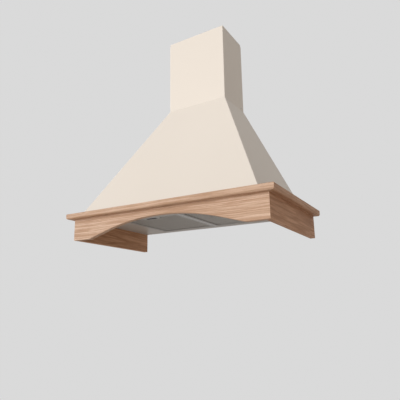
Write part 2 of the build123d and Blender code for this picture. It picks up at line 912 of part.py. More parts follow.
def control_plate():
    """Plastic plate under the panel with the five button holes."""
    half = control_width / 2
    reach = control_length / 2
    y = (front_strip_y - reach, front_strip_y + reach)
    plate = block((-half, half), y, (panel_bottom - control_thickness, panel_bottom))
    plate = fillet(plate.edges().filter_by(Axis.Z), control_thickness)
    radius = button_radius + fit_play
    return plate - [rod((x, front_strip_y, 0), (0, 0, 1), radius, rim_top) for x in button_xs()]


def switch_box():
    """Cover of the switches, standing on the control plate inside the hood."""
    half = switch_box_width / 2
    reach = switch_box_length / 2
    y = (front_strip_y - reach, front_strip_y + reach)
    top = panel_bottom + switch_box_height
    wall = switch_box_wall
    inner_y = (y[0] + wall, y[1] - wall)
    shell = block((-half, half), y, (panel_bottom, top))
    return shell - block((-half + wall, half - wall), inner_y, (0, top - wall))


def button(x):
    """Round push button with the collar that stops it on the control plate."""
    bottom = panel_bottom - control_thickness - button_proud
    stem = rod((x, front_strip_y, bottom), (0, 0, 1), button_radius, button_height)
    stem = fillet(stem.edges().group_by(Axis.Z)[0], button_edge)
    collar_start = (x, front_strip_y, panel_bottom + fit_play)
    return stem + rod(collar_start, (0, 0, 1), button_collar_radius, button_collar_height)


# ---- blower -----------------------------------------------------------------------------------
def scroll_face(inset, top):
    """Side outline of the blower's housing: a spiral that opens into an upright duct."""
    start = acos((tongue_offset + inset) / (scroll_start_radius - inset))
    growth = scroll_end_radius - scroll_start_radius
    points = []
    for step in range(scroll_steps + 1):
        share = step / scroll_steps
        angle = start + (2 * pi - start) * share
        radius = scroll_start_radius + growth * share - inset
        points.append((fan_y + radius * cos(angle), fan_height + radius * sin(angle)))
    duct = Polyline(points[-1], (points[-1][0], top), (points[0][0], top), points[0])
    return Plane.YZ * make_face(Spline(*points) + duct)


def housing_shell():
    """Both halves of the housing: scroll, side plates with inlets, and the seam's rim."""
    outer = extrude(scroll_face(0, housing_top), housing_half_width, both=True)
    rim = extrude(scroll_face(-seam_rim, housing_top), seam_rim_thickness, both=True)
    inner = scroll_face(housing_wall, housing_top + housing_wall)
    room = extrude(inner, housing_half_width - housing_wall, both=True)
    lip_start = (-housing_half_width - inlet_lip_height, fan_y, fan_height)
    lip_length = 2 * (housing_half_width + inlet_lip_height)
    lips = rod(lip_start, (1, 0, 0), inlet_radius + housing_wall, lip_length)
    inlets = rod(lip_start, (1, 0, 0), inlet_radius, lip_length)
    shell = outer + rim + lips - room - inlets
    return shell - side_screw_holes()


def housing_half(side):
    keep = Keep.TOP if side > 0 else Keep.BOTTOM
    return split(housing_shell(), bisect_by=Plane.YZ, keep=keep)


def wheel_point(x):
    return (x, fan_y, fan_height)


def wheel_blades():
    """The drum wheel's blades, each a flat strip that leans back from the radius."""
    blade = Rectangle(wheel_band, blade_thickness)
    blade_radius = wheel_radius - wheel_band / 2
    places = [place * Rot(0, 0, blade_lean) for place in PolarLocations(blade_radius, blade_count)]
    centred = Pos(fan_y, fan_height, 0)
    return [extrude(Plane.YZ * (centred * place * blade), wheel_half_width, both=True) for place in places]


def wheel_rings():
    """The two end rings, riveted on the blades' ends."""
    inner_radius = wheel_radius - wheel_band
    ring = tube(wheel_point(wheel_half_width), (1, 0, 0), wheel_radius, inner_radius, wheel_ring)
    return [ring, other_side(ring)]


def wheel_disc():
    """Middle disc with a notch for each blade, and the hub on the motor's shaft."""
    disc = rod(wheel_point(-wheel_ring / 2), (1, 0, 0), wheel_radius - wheel_band / 4, wheel_ring)
    hub = rod(wheel_point(-hub_half_length), (1, 0, 0), hub_radius, 2 * hub_half_length)
    bore = rod(wheel_point(-hub_half_length), (1, 0, 0), shaft_radius, 2 * hub_half_length)
    return disc + hub - bore - wheel_blades()


def motor_shaft():
    start = motor_back + housing_wall
    return rod(wheel_point(start), (1, 0, 0), shaft_radius, hub_half_length - start)


def motor():
    """Motor inside the wheel's left half."""
    body = rod(wheel_point(motor_back), (1, 0, 0), motor_radius, motor_front - motor_back)
    body = fillet(body.edges().filter_by(GeomType.CIRCLE), housing_wall)
    bore_start = motor_back + housing_wall - shaft_play
    bore = rod(wheel_point(bore_start), (1, 0, 0), shaft_radius + shaft_play, motor_front - bore_start)
    return body - bore


def motor_bracket():
    """Three-armed spider over the left inlet, with a boss that carries the motor."""
    ring_inner = motor_ring_radius - motor_ring_band
    middle = (motor_ring_radius + ring_inner) / 2
    outwards = (-1, 0, 0)
    arm_half = motor_arm_width / 2
    arm = block((-bracket_sheet, 0), (-arm_half, arm_half), (0, middle))
    foot = rod((0, 0, middle), (1, 0, 0), motor_foot_radius, inlet_lip_height)
    turns = [Rot(index * 360 / motor_arm_count, 0, 0) for index in range(motor_arm_count)]
    spider = tube((0, 0, 0), outwards, motor_ring_radius, ring_inner, bracket_sheet)
    inlet_x = -(housing_half_width + inlet_lip_height)
    boss_length = bracket_sheet + motor_back - inlet_x
    spider = spider + rod((-bracket_sheet, 0, 0), (1, 0, 0), motor_boss_radius, boss_length)
    for turn in turns:
        spider = spider + turn * arm + turn * foot
    return Pos(wheel_point(inlet_x)) * spider


def outlet_collar():
    """Piece on the housing's mouth that turns it into the round spigot for the duct."""
    back = fan_y + scroll_end_radius
    front = fan_y + tongue_offset
    middle = (back + front) / 2
    depth = back - front
    width = 2 * housing_half_width
    flange_half = housing_half_width + outlet_flange
    flange_y = (front - outlet_flange, back + outlet_flange)
    flange = block((-flange_half, flange_half), flange_y, (housing_top, cone_bottom))
    foot = Pos(0, middle, cone_bottom)
    head = Pos(0, duct_y, cone_top)
    cone = loft([foot * Rectangle(width, depth), head * Circle(outlet_radius)])
    wall = 2 * outlet_wall
    room = loft([foot * Rectangle(width - wall, depth - wall), head * Circle(outlet_bore)])
    mouth_half = housing_half_width - outlet_wall
    mouth = block((-mouth_half, mouth_half), (front + outlet_wall, back - outlet_wall), (0, cone_bottom))
    spigot = tube((0, duct_y, cone_top), (0, 0, 1), outlet_radius, outlet_bore, outlet_collar_height)
    ledge_top = flap_pin_height - flap_thickness / 2 - fit_play
    ledge_start = (0, duct_y, ledge_top - flap_ledge_thickness)
    ledge_outer = outlet_bore + outlet_wall / 2
    ledge = tube(ledge_start, (0, 0, 1), ledge_outer, outlet_bore - flap_ledge_width, flap_ledge_thickness)
    pin_hole = rod(pin_end(), (0, 1, 0), flap_pin_radius + thread_play, 2 * outlet_radius)
    return flange + cone - room - mouth + spigot + ledge - pin_hole


def pin_end():
    return (0, duct_y - outlet_radius, flap_pin_height)


def flap_pin():
    return rod(pin_end(), (0, 1, 0), flap_pin_radius, 2 * outlet_radius)


def knuckle_spans(side):
    """The stretches of the pin that one flap's knuckles take, as distances along it."""
    length = flap_knuckle_half_span / 2
    first = -flap_knuckle_half_span if side < 0 else -length
    starts = (first, first + 2 * length)
    return [(start + flap_knuckle_gap, start + length - flap_knuckle_gap) for start in starts]


def flap(side):
    """Half-round flap that the air lifts and its own weight closes."""
    low = flap_pin_height - flap_thickness / 2
    disc = rod((0, duct_y, low), (0, 0, 1), outlet_bore - flap_edge_gap, flap_thickness)
    root_x = flap_knuckle_radius + flap_root_gap
    reach = outlet_radius
    level = (low, low + flap_thickness)
    plate = disc & block((-reach, -root_x), (duct_y - reach, duct_y + reach), level)
    pieces = plate
    for start, end in knuckle_spans(side):
        y = (duct_y + start, duct_y + end)
        knuckle = rod((0, y[0], flap_pin_height), (0, 1, 0), flap_knuckle_radius, end - start)
        link = block((-root_x - flap_root_gap, -flap_pin_radius), y, level)
        pieces = pieces + knuckle + link
    bore_start = (0, duct_y - reach, flap_pin_height)
    leaf = pieces - rod(bore_start, (0, 1, 0), flap_pin_radius + pivot_play, 2 * reach)
    return leaf if side < 0 else other_side(leaf)


def blower_bracket(side):
    """Folded bracket from the back panel to the housing's side."""
    z = (fan_height - blower_bracket_half_height, fan_height + blower_bracket_half_height)
    web_x = (-bracket_inner_x - bracket_sheet, -bracket_inner_x)
    foot_x = (-bracket_inner_x - blower_bracket_foot, -bracket_inner_x)
    web = block(web_x, (-blower_bracket_depth, panel_front_y), z)
    foot = block(foot_x, (panel_front_y - bracket_sheet, panel_front_y), z)
    bracket = web + foot
    bracket = bracket if side < 0 else other_side(bracket)
    return bracket - side_screw_holes() - back_screw_holes()


def blower_screw_heights():
    return (fan_height - blower_screw_rise, fan_height + blower_screw_rise)


def side_screw_seats():
    """Seats and directions of the screws from the brackets into the housing's sides."""
    x = bracket_inner_x + bracket_sheet
    spots = [(side, z) for side in (-1, 1) for z in blower_screw_heights()]
    return [((side * x, blower_screw_y, z), (-side, 0, 0)) for side, z in spots]


def side_screw_length():
    return bracket_sheet + rubber_thickness + housing_wall


def side_screw_holes():
    radius = screw_radius + thread_play
    return [rod(seat, way, radius, side_screw_length()) for seat, way in side_screw_seats()]


def back_screw_seats():
    x = bracket_inner_x + (bracket_sheet + blower_bracket_foot) / 2
    y = panel_front_y - bracket_sheet
    return [(side * x, y, z) for side in (-1, 1) for z in blower_screw_heights()]


def back_screw_holes():
    radius = screw_radius + thread_play
    return [rod(seat, (0, 1, 0), radius, bracket_sheet + sheet) for seat in back_screw_seats()]


def blower_screws():
    sides = [screw(seat, way, side_screw_length()) for seat, way in side_screw_seats()]
    return sides + [screw(seat, (0, 1, 0), bracket_sheet + sheet) for seat in back_screw_seats()]


def rubber_mounts():
    """Rubber washers that keep the blower's noise out of the brackets."""
    radius = screw_radius + thread_play
    x = housing_half_width
    spots = [(side, z) for side in (-1, 1) for z in blower_screw_heights()]
    seats = [((side * x, blower_screw_y, z), (side, 0, 0)) for side, z in spots]
    return [tube(seat, way, rubber_radius, radius, rubber_thickness) for seat, way in seats]


# ---- wiring boxes -------------------------------------------------------------------------------
def terminal_span():
    x = (terminal_x - terminal_width / 2, terminal_x + terminal_width / 2)
    z = (terminal_height - terminal_rise / 2, terminal_height + terminal_rise / 2)
    return x, z


def terminal_box():
    """Open-fronted box on the back panel where the supply joins the motor's wires."""
    x, z = terminal_span()
    wall = terminal_wall
    front = panel_front_y - terminal_depth
    shell = block(x, (front, panel_front_y), z)
    room = block((x[0] + wall, x[1] - wall), (front, panel_front_y - wall), (z[0] + wall, z[1] - wall))
    return shell - room - rod(gland_point(), (0, 0, -1), gland_radius + thread_play, 2 * wall)


def terminal_lid():
    x, z = terminal_span()
    front = panel_front_y - terminal_depth
    lid = block(x, (front - terminal_wall, front), z)
    return fillet(lid.edges().filter_by(Axis.Y), terminal_wall)


def gland_point():
    return (terminal_x, panel_front_y - terminal_depth / 2, terminal_height + terminal_rise / 2)


def cable_gland():
    """Gland for the supply cable, which comes down the chimney."""
    x, y, z = gland_point()
    body = rod((x, y, z - terminal_wall), (0, 0, 1), gland_radius, gland_length)
    flange = rod((x, y, z), (0, 0, 1), gland_flange_radius, gland_flange_height)
    bore = rod((x, y, z - terminal_wall), (0, 0, 1), gland_bore_radius, gland_length)
    return body + flange - bore


def capacitor():
    """The motor's running capacitor, strapped to the back panel."""
    y = panel_front_y - capacitor_radius
    start = (capacitor_x, y, terminal_height - terminal_rise / 2)
    can = rod(start, (0, 0, 1), capacitor_radius, capacitor_length)
    cap_start = (capacitor_x, y, start[2] + capacitor_length)
    return can + rod(cap_start, (0, 0, 1), capacitor_cap_radius, capacitor_cap_height)


# ---- files ----------------------------------------------------------------------------------------
os.makedirs("parts", exist_ok=True)

save("valance_front", valance())
save("cornice_front", cornice_front())
save("cornice_dowels", group(dowels(0)))
save("corner_blocks", group([corner_block(-1), corner_block(1)]))
save("canopy_front", canopy_front_sheet())
save("wood_screws", group(canopy_screws() + panel_screws()))
save("sheet_metal_screws", group(chimney_screws() + rear_screws() + blower_screws()))
save("lower_chimney", lower_chimney())
save("chimney_wall_strip", chimney_wall_strip())
save("upper_chimney", upper_chimney())
save("ceiling_bracket", ceiling_bracket())
save("ceiling_bracket_screws", group(ceiling_screws()))
save("back_panel", back_panel())
save("underside_panel", underside_panel())
save("centre_rail", centre_rail())
save("control_plate", control_plate())
save("switch_box", switch_box())
save("wheel_blades", group(wheel_blades()))
save("wheel_rings", group(wheel_rings()))
save("wheel_disc", wheel_disc())
save("motor_shaft", motor_shaft())
save("motor", motor())
save("motor_bracket", motor_bracket())
save("blower_brackets", group([blower_bracket(-1), blower_bracket(1)]))
save("outlet_collar", outlet_collar())
save("flap_pin", flap_pin())
save("rubber_mounts", group(rubber_mounts()))
save("terminal_box", terminal_box())
save("terminal_lid", terminal_lid())
save("cable_gland", cable_gland())
save("capacitor", capacitor())

for name, side in (("left", -1), ("right", 1)):
    save("side_board_" + name, side_board(side))
    save("cornice_" + name, cornice_side(side))
    save("canopy_" + name, canopy_side_sheet(side))
    save("filter_frame_" + name, filter_frame(side))
    save("filter_mesh_" + name, filter_mesh(side))
    save("latch_plate_" + name, latch_plate(side))
    save("filter_latch_" + name, filter_latch(side))
    save("lamp_can_" + name, lamp_can(side))
    save("lamp_bezel_" + name, lamp_bezel(side))
    save("lamp_lens_" + name, lamp_lens(side))
    save("blower_housing_" + name, housing_half(side))
    save("flap_" + name, flap(side))

for name, x in zip(button_names, button_xs()):
    save(name, button(x))
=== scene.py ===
import math

import bmesh
import bpy
from mathutils import Matrix, Vector

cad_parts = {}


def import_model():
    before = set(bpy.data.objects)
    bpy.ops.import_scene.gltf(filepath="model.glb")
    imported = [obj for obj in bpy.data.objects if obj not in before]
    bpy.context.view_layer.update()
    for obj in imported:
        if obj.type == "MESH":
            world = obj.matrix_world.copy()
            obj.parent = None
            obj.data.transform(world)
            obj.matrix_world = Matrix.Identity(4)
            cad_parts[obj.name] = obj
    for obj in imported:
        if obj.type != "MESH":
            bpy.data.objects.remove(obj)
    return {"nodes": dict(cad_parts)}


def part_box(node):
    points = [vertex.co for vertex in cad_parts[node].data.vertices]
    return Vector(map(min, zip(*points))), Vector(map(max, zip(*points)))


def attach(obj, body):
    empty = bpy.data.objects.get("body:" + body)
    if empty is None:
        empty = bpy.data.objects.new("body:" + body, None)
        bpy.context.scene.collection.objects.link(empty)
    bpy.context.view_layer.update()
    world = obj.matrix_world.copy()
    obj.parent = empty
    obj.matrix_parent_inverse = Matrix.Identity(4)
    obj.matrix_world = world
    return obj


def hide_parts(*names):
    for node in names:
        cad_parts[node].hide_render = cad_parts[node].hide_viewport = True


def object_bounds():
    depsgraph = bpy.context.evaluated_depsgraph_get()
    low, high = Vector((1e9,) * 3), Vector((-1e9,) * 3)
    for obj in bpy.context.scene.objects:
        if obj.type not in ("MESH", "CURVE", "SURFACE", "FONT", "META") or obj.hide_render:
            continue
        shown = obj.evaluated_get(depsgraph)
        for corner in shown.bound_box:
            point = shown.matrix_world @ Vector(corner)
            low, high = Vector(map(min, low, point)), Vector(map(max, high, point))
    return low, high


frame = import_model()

cad_nodes = frame["nodes"]
cad_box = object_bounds()

# ---- Back panel and wall-side brackets --------------------------------------------------------
# A flat plate of galvanised steel hangs on four wall screws and carries the rest of the hood.
# The strip behind the chimney, the ceiling bracket and the blower's brackets are cut from the same
# sheet: zinc crystals show on it as pale and dark patches about a centimetre across.

# Noise seldom leaves this range.
noise_low, noise_high = 0.3, 0.7


def add_node(tree, kind, inputs=None, output=0, **settings):
    """Adds a node, sets its properties and gives its inputs values or wires; returns one output."""
    node = tree.nodes.new(kind)
    for name, value in settings.items():
        setattr(node, name, value)
    for key, value in (inputs or {}).items():
        sources = value if isinstance(value, list) else [value]
        for source in sources:
            if isinstance(source, bpy.types.NodeSocket):
                tree.links.new(source, node.inputs[key])
            else:
                node.inputs[key].default_value = source
    return node.outputs[output]


class Finish:
    """The material of one finish. Constant values sit on the shader, patterns are wired to it."""

    def __init__(self, name, colour, roughness, metallic=0.0):
        self.material = bpy.data.materials.new(name)
        self.material.use_nodes = True
        self.tree = self.material.node_tree
        self.shader = self.tree.nodes["Principled BSDF"]
        self.give("Base Color", (*colour, 1.0))
        self.give("Roughness", roughness)
        self.give("Metallic", metallic)

    def give(self, socket, value):
        if isinstance(value, bpy.types.NodeSocket):
            self.tree.links.new(value, self.shader.inputs[socket])
        else:
            self.shader.inputs[socket].default_value = value

    def add(self, kind, inputs=None, output=0, **settings):
        return add_node(self.tree, "ShaderNode" + kind, inputs, output, **settings)

    def place(self, stretch=(1, 1, 1), turn=(0, 0, 0), shift=(0, 0, 0)):
        """The piece's own coordinates in metres, stretched, then turned, then shifted."""
        own = self.add("TexCoord", output="Object")
        inputs = {"Vector": own, "Scale": stretch, "Rotation": turn, "Location": shift}
        return self.add("Mapping", inputs)

    def noise(self, where, scale=1.0, detail=3.0, roughness=0.5, output=0):
        inputs = {"Vector": where, "Scale": scale, "Detail": detail, "Roughness": roughness}
        return self.add("TexNoise", inputs, output)

    def cells(self, where, scale, output="Color", **settings):
        return self.add("TexVoronoi", {"Vector": where, "Scale": scale}, output, **settings)

    def maths(self, operation, first, second=0.0, third=0.0):
        inputs = {0: first, 1: second, 2: third}
        return self.add("Math", inputs, operation=operation)

    def vectors(self, operation, first, second=(0, 0, 0), output=0):
        return self.add("VectorMath", {0: first, 1: second}, output, operation=operation)

    def spread(self, value, low, high, to_low=0.0, to_high=1.0):
        """Maps low to high onto another range, and holds what lies outside."""
        inputs = {"Value": value, "From Min": low, "From Max": high, "To Min": to_low, "To Max": to_high}
        return self.add("MapRange", inputs)

    def vary(self, noise, low, high):
        """A value from low to high that follows a noise."""
        return self.spread(noise, noise_low, noise_high, low, high)

    def blend(self, share, first, second):
        """A colour between two colours."""
        ends = [end if isinstance(end, bpy.types.NodeSocket) else (*end, 1.0) for end in (first, second)]
        return self.add("Mix", {0: share, 6: ends[0], 7: ends[1]}, 2, data_type="RGBA")

    def tint(self, share, colour, factor):
        """The colour times a grey factor, by a share."""
        inputs = {0: share, 6: colour, 7: factor}
        return self.add("Mix", inputs, 2, data_type="RGBA", blend_type="MULTIPLY")

    def relief(self, height, depth, strength=1.0):
        """Surface relief of that depth, in metres, where the height runs from 0 to 1."""
        inputs = {"Height": height, "Distance": depth, "Strength": strength}
        self.give("Normal", self.add("Bump", inputs))


def dress(finish, *names):
    """Gives CAD nodes a finish through their material slots."""
    for name in names:
        for slot in cad_nodes[name].material_slots:
            slot.material = finish.material


def zinc_finish():
    pale = (0.62, 0.64, 0.65)
    dull = (0.47, 0.49, 0.51)
    crystals_per_metre, crystal_share = 75, 0.7
    clouds_per_metre, cloud_share = 14, 0.4
    rough_dull, rough_pale = 0.52, 0.34
    finish = Finish("galvanised_sheet", pale, roughness=0.42, metallic=0.8)
    patch = finish.cells(finish.place(), crystals_per_metre)
    cloud = finish.noise(finish.place(), scale=clouds_per_metre)
    mottle = finish.maths("ADD", finish.maths("MULTIPLY", patch, crystal_share),
                          finish.maths("MULTIPLY", cloud, cloud_share))
    finish.give("Base Color", finish.blend(mottle, dull, pale))
    finish.give("Roughness", finish.spread(mottle, 0.2, 0.9, rough_dull, rough_pale))
    return finish


zinc = zinc_finish()
dress(zinc, "back_panel", "chimney_wall_strip", "ceiling_bracket")
dress(zinc, "blower_brackets", "motor_bracket")

# ---- Oak frame: valance and side boards ---------------------------------------------------------
# Three boards of solid oak, 20 mm thick, mitred at the front corners. The grain runs along each
# board; the valance is flat-sawn, so its growth rings show as long streaks and pointed loops. The
# wood is sanded and oiled, and the larger pores stay open.

oak_light = (0.735, 0.53, 0.395)
oak_early = (0.43, 0.25, 0.15)
oak_pore = (0.20, 0.105, 0.055)
board_rings = 0.0048
# What runs along the grain, as length and thickness; a bend also has its reach to each side.
slow_bend = (0.80, 0.25, 0.020)
short_bend = (0.11, 0.022, 0.0024)
fine_bend = (0.035, 0.006, 0.0005)
broad_tone = (0.5, 0.03)
ring_run = (0.30, 0.020)
streak_size = (0.15, 0.0065)
fibre_size = (0.16, 0.0013)
vessel_size = (0.016, 0.00048)
# Where in a year's ring the dark early wood begins and ends.
early_begins = (0.0, 0.10)
early_ends = (0.16, 0.62, 1.0, 0.0)
# The noise between which each of them comes up, and its share of the dark colour at both ends.
ring_shows = (0.34, 0.64, 0.1, 1.0)
streak_shows = (0.42, 0.60, 0.0, 0.72)
fibre_shows = (0.35, 0.75, 0.0, 0.30)
broad_tone_shows = (0.42, 0.66, 0.0, 0.3)
pore_shows = (0.64, 0.69)
ring_share = 0.95
pore_share = 0.32
pores_in_early_wood = 0.06
pore_depth = 0.00015


def oak(name, heart, along_depth=False, tone=(1, 1, 1), ring_width=board_rings):
    """Oak whose growth rings run round a heart line, which is given as (depth, height)."""
    finish = Finish(name, oak_light, roughness=0.6)
    finish.give("Specular IOR Level", 0.2)
    turn = (0, 0, -math.pi / 2 if along_depth else 0)
    grain = finish.place(turn=turn, shift=(0, -heart[0], -heart[1]))

    def along(length, thickness, detail=2.0, output=0):
        """Noise drawn out along the grain, with features of that length and thickness."""
        scale = (1 / length, 1 / thickness, 1 / thickness)
        return finish.noise(finish.vectors("MULTIPLY", grain, scale), detail=detail, output=output)

    def wander(length, thickness, reach):
        """Sideways shift of the rings, up to about the reach."""
        shift = finish.vectors("SUBTRACT", along(length, thickness, output="Color"), (0.5, 0.5, 0.5))
        return finish.vectors("MULTIPLY", shift, (0, 2 * reach, 2 * reach))

    bent = grain
    for bend in (slow_bend, short_bend, fine_bend):
        bent = finish.vectors("ADD", bent, wander(*bend))
    across = finish.vectors("LENGTH", finish.vectors("MULTIPLY", bent, (0, 1, 1)), output="Value")
    season = finish.maths("FRACT", finish.maths("DIVIDE", across, ring_width))
    spring, summer = finish.spread(season, *early_begins), finish.spread(season, *early_ends)
    early = finish.maths("MULTIPLY", spring, summer)
    strength = finish.spread(along(*ring_run, detail=3.0), *ring_shows)
    ring = finish.maths("MULTIPLY", early, strength)
    streak = along(*streak_size, detail=3.0)
    fibre = along(*fibre_size, detail=3.0)
    vessel = along(*vessel_size, detail=1.0)
    crowd = finish.maths("MULTIPLY", early, pores_in_early_wood)
    pore = finish.spread(finish.maths("ADD", vessel, crowd), *pore_shows)
    wood = finish.blend(finish.maths("MULTIPLY", ring, ring_share), oak_light, oak_early)
    wood = finish.blend(finish.spread(streak, *streak_shows), wood, oak_early)
    wood = finish.blend(finish.spread(fibre, *fibre_shows), wood, oak_early)
    wood = finish.blend(finish.spread(along(*broad_tone), *broad_tone_shows), wood, oak_early)
    wood = finish.blend(finish.maths("MULTIPLY", pore, pore_share), wood, oak_pore)
    # A tone below one darkens the whole piece as painted shade.
    finish.give("Base Color", finish.tint(1.0, wood, (*tone, 1.0)))
    finish.give("Roughness", finish.vary(fibre, 0.5, 0.66))
    finish.relief(finish.maths("SUBTRACT", finish.maths("MULTIPLY", fibre, 0.4), pore), pore_depth, 0.6)
    return finish


# Each board is sawn beside the heart of its tree, at a place of its own. The side boards' tones
# are painted shade, darkening the faces that turn away from the light.
frame_low, frame_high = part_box("valance_front")
front_heart = (frame_low.y + 0.070, frame_low.z - 0.030)
right_heart = (-(frame_high.x - 0.10), frame_low.z + 0.060)
left_heart = (-(frame_low.x + 0.095), frame_low.z + 0.020)
right_board_shade_tint, left_board_shade_tint = (0.85, 0.68, 0.54), (0.90, 0.73, 0.59)
dress(oak("oak_valance", front_heart), "valance_front")
dress(oak("oak_right_board", right_heart, along_depth=True, tone=right_board_shade_tint), "side_board_right")
dress(oak("oak_left_board", left_heart, along_depth=True, tone=left_board_shade_tint), "side_board_left")

# ---- Oak cornice --------------------------------------------------------------------------------
# Three lengths of a moulding lie on the boards and stand out over them by 26 mm, with mitred front
# corners. The nose is rounded under and over. They are glued to the boards on beech dowels, and two
# beech blocks stiffen the corners inside.

cornice_rings = 0.0030
# The right cornice is darkened as painted shade, since its side faces away from the light.
cornice_right_shade_tint = (0.93, 0.84, 0.77)
cornice_low, cornice_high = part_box("cornice_front")
nose_heart = (cornice_low.y + 0.020, cornice_low.z - 0.060)
side_heart = (cornice_high.x * 0.9, cornice_low.z - 0.055)
far_heart = (-side_heart[0], side_heart[1])
dress(oak("oak_cornice_front", nose_heart, ring_width=cornice_rings), "cornice_front")
dress(oak("oak_cornice_left", side_heart, along_depth=True, ring_width=cornice_rings), "cornice_left")
dress(oak("oak_cornice_right", far_heart, along_depth=True, tone=cornice_right_shade_tint,
          ring_width=cornice_rings), "cornice_right")


def beech_finish():
    pale = (0.66, 0.47, 0.31)
    red = (0.50, 0.32, 0.20)
    fleck_colour, fleck_share = (0.36, 0.20, 0.12), 0.6
    flecks_per_metre = (900, 900, 130)
    streaks_per_metre = (160, 160, 9)
    finish = Finish("beech", pale, roughness=0.6)
    fleck = finish.spread(finish.noise(finish.place(stretch=flecks_per_metre), detail=1.0), 0.62, 0.68)
    streaked = finish.blend(finish.noise(finish.place(stretch=streaks_per_metre)), pale, red)
    shown = finish.maths("MULTIPLY", fleck, fleck_share)
    finish.give("Base Color", finish.blend(shown, streaked, fleck_colour))
    finish.relief(fleck, -0.0001, 0.5)
    return finish


dress(beech_finish(), "cornice_dowels", "corner_blocks")

# ---- Canopy and chimney -------------------------------------------------------------------------
# Three steel sheets, folded and seam-welded along the two slanting edges, ground flush and painted
# with a matt cream powder coat. The two chimney covers are folded channels with the same paint,
# one of which slides inside the other. The baked coat has the faint skin of an orange peel.


def powder_coat(name, colour, roughness=0.6):
    clouds_per_metre, cloud_shade = 2.2, 0.985
    dimples_per_metre, dimple_depth = 520, 0.00006
    unevenness = 0.05
    finish = Finish(name, colour, roughness)
    finish.give("Specular IOR Level", 0.3)
    cloud = finish.noise(finish.place(), scale=clouds_per_metre, detail=2.0)
    shade = tuple(channel * cloud_shade for channel in colour)
    finish.give("Base Color", finish.blend(finish.spread(cloud, 0.35, 0.65), shade, colour))
    skin = finish.noise(finish.place(), scale=dimples_per_metre, detail=1.5, roughness=0.4)
    finish.give("Roughness", finish.vary(skin, roughness - unevenness, roughness + unevenness))
    finish.relief(skin, dimple_depth, 0.35)
    return finish


cream = powder_coat("cream_powder_coat", (0.80, 0.732, 0.652))
dress(cream, "canopy_front", "canopy_left", "canopy_right", "lower_chimney", "upper_chimney")

# ---- Screws -------------------------------------------------------------------------------------
# Zinc-plated pan-head screws with a cross recess. Wood screws go through the canopy's foot and the
# panel's margin into the oak; short sheet-metal screws hold the chimney covers, the panel's rear
# upstand and the blower's brackets.

head_radius = 0.0035
head_height = 0.0016
head_band = 0.0007
head_facets = 24
crown_share = 0.55
shank_radius = 0.00155
shank_facets = 12
thread_height = 0.00035
thread_turns = 5.0
thread_margin = 0.04
recess_width = 0.0009
recess_length = 0.0040
recess_depth = 0.0011
same_point = 1e-6


def solids_of(node):
    """The corner points of each separate solid in a CAD node."""
    merged = bmesh.new()
    merged.from_mesh(cad_nodes[node].data)
    bmesh.ops.remove_doubles(merged, verts=merged.verts, dist=same_point)
    taken = set()
    found = []
    for start in merged.verts:
        if start in taken:
            continue
        taken.add(start)
        front, points = [start], []
        while front:
            corner = front.pop()
            points.append(corner.co.copy())
            for edge in corner.link_edges:
                other = edge.other_vert(corner)
                if other not in taken:
                    taken.add(other)
                    front.append(other)
        found.append(points)
    merged.free()
    return found


def screw_place(points):
    """Seat under a screw's head, the direction its head points in, and its shank's length."""
    low = Vector(map(min, zip(*points)))
    high = Vector(map(max, zip(*points)))
    size = high - low
    middle = (low + high) / 2
    odd = [abs(size[(axis + 1) % 3] - size[(axis + 2) % 3]) for axis in range(3)]
    axis = odd.index(min(odd))
    out = Vector((0, 0, 0))
    top = [point for point in points if point[axis] > middle[axis]]
    reach = max((point - middle).length_squared - (point[axis] - middle[axis]) ** 2 for point in top)
    out[axis] = 1 if reach > ((head_radius + shank_radius) / 2) ** 2 else -1
    seat = middle + out * (size[axis] / 2 - head_height)
    return seat, out, size[axis] - head_height


def new_tree(name, inputs):
    """A Geometry Nodes tree with named inputs; returns it, its input node and its output node."""
    tree = bpy.data.node_groups.new(name, "GeometryNodeTree")
    tree.interface.new_socket("Geometry", in_out="OUTPUT", socket_type="NodeSocketGeometry")
    tree.interface.new_socket("Geometry", in_out="INPUT", socket_type="NodeSocketGeometry")
    for label, kind in inputs.items():
        tree.interface.new_socket(label, in_out="INPUT", socket_type="NodeSocket" + kind)
    return tree, tree.nodes.new("NodeGroupInput"), tree.nodes.new("NodeGroupOutput")


def grown(name, tree, start, values, body, slot, *replaced):
    """Runs a tree on a start mesh and keeps the result as a plain piece that rides on a body."""
    maker = bpy.data.objects.new(name + "_maker", start)
    bpy.context.scene.collection.objects.link(maker)
    modifier = maker.modifiers.new("grow", "NODES")
    modifier.node_group = tree
    for item in tree.interface.items_tree:
        if item.in_out == "INPUT" and item.name in values:
            modifier[item.identifier] = values[item.name]
    shown = maker.evaluated_get(bpy.context.evaluated_depsgraph_get())
    mesh = bpy.data.meshes.new_from_object(shown)
    mesh.materials.clear()
    mesh.materials.append(values["Finish"])
    mesh.polygons.foreach_set("material_index", [0] * len(mesh.polygons))
    bpy.data.objects.remove(maker)
    piece = bpy.data.objects.new(name, mesh)
    bpy.context.scene.collection.objects.link(piece)
    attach(piece, body)
    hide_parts(*replaced)
    return piece


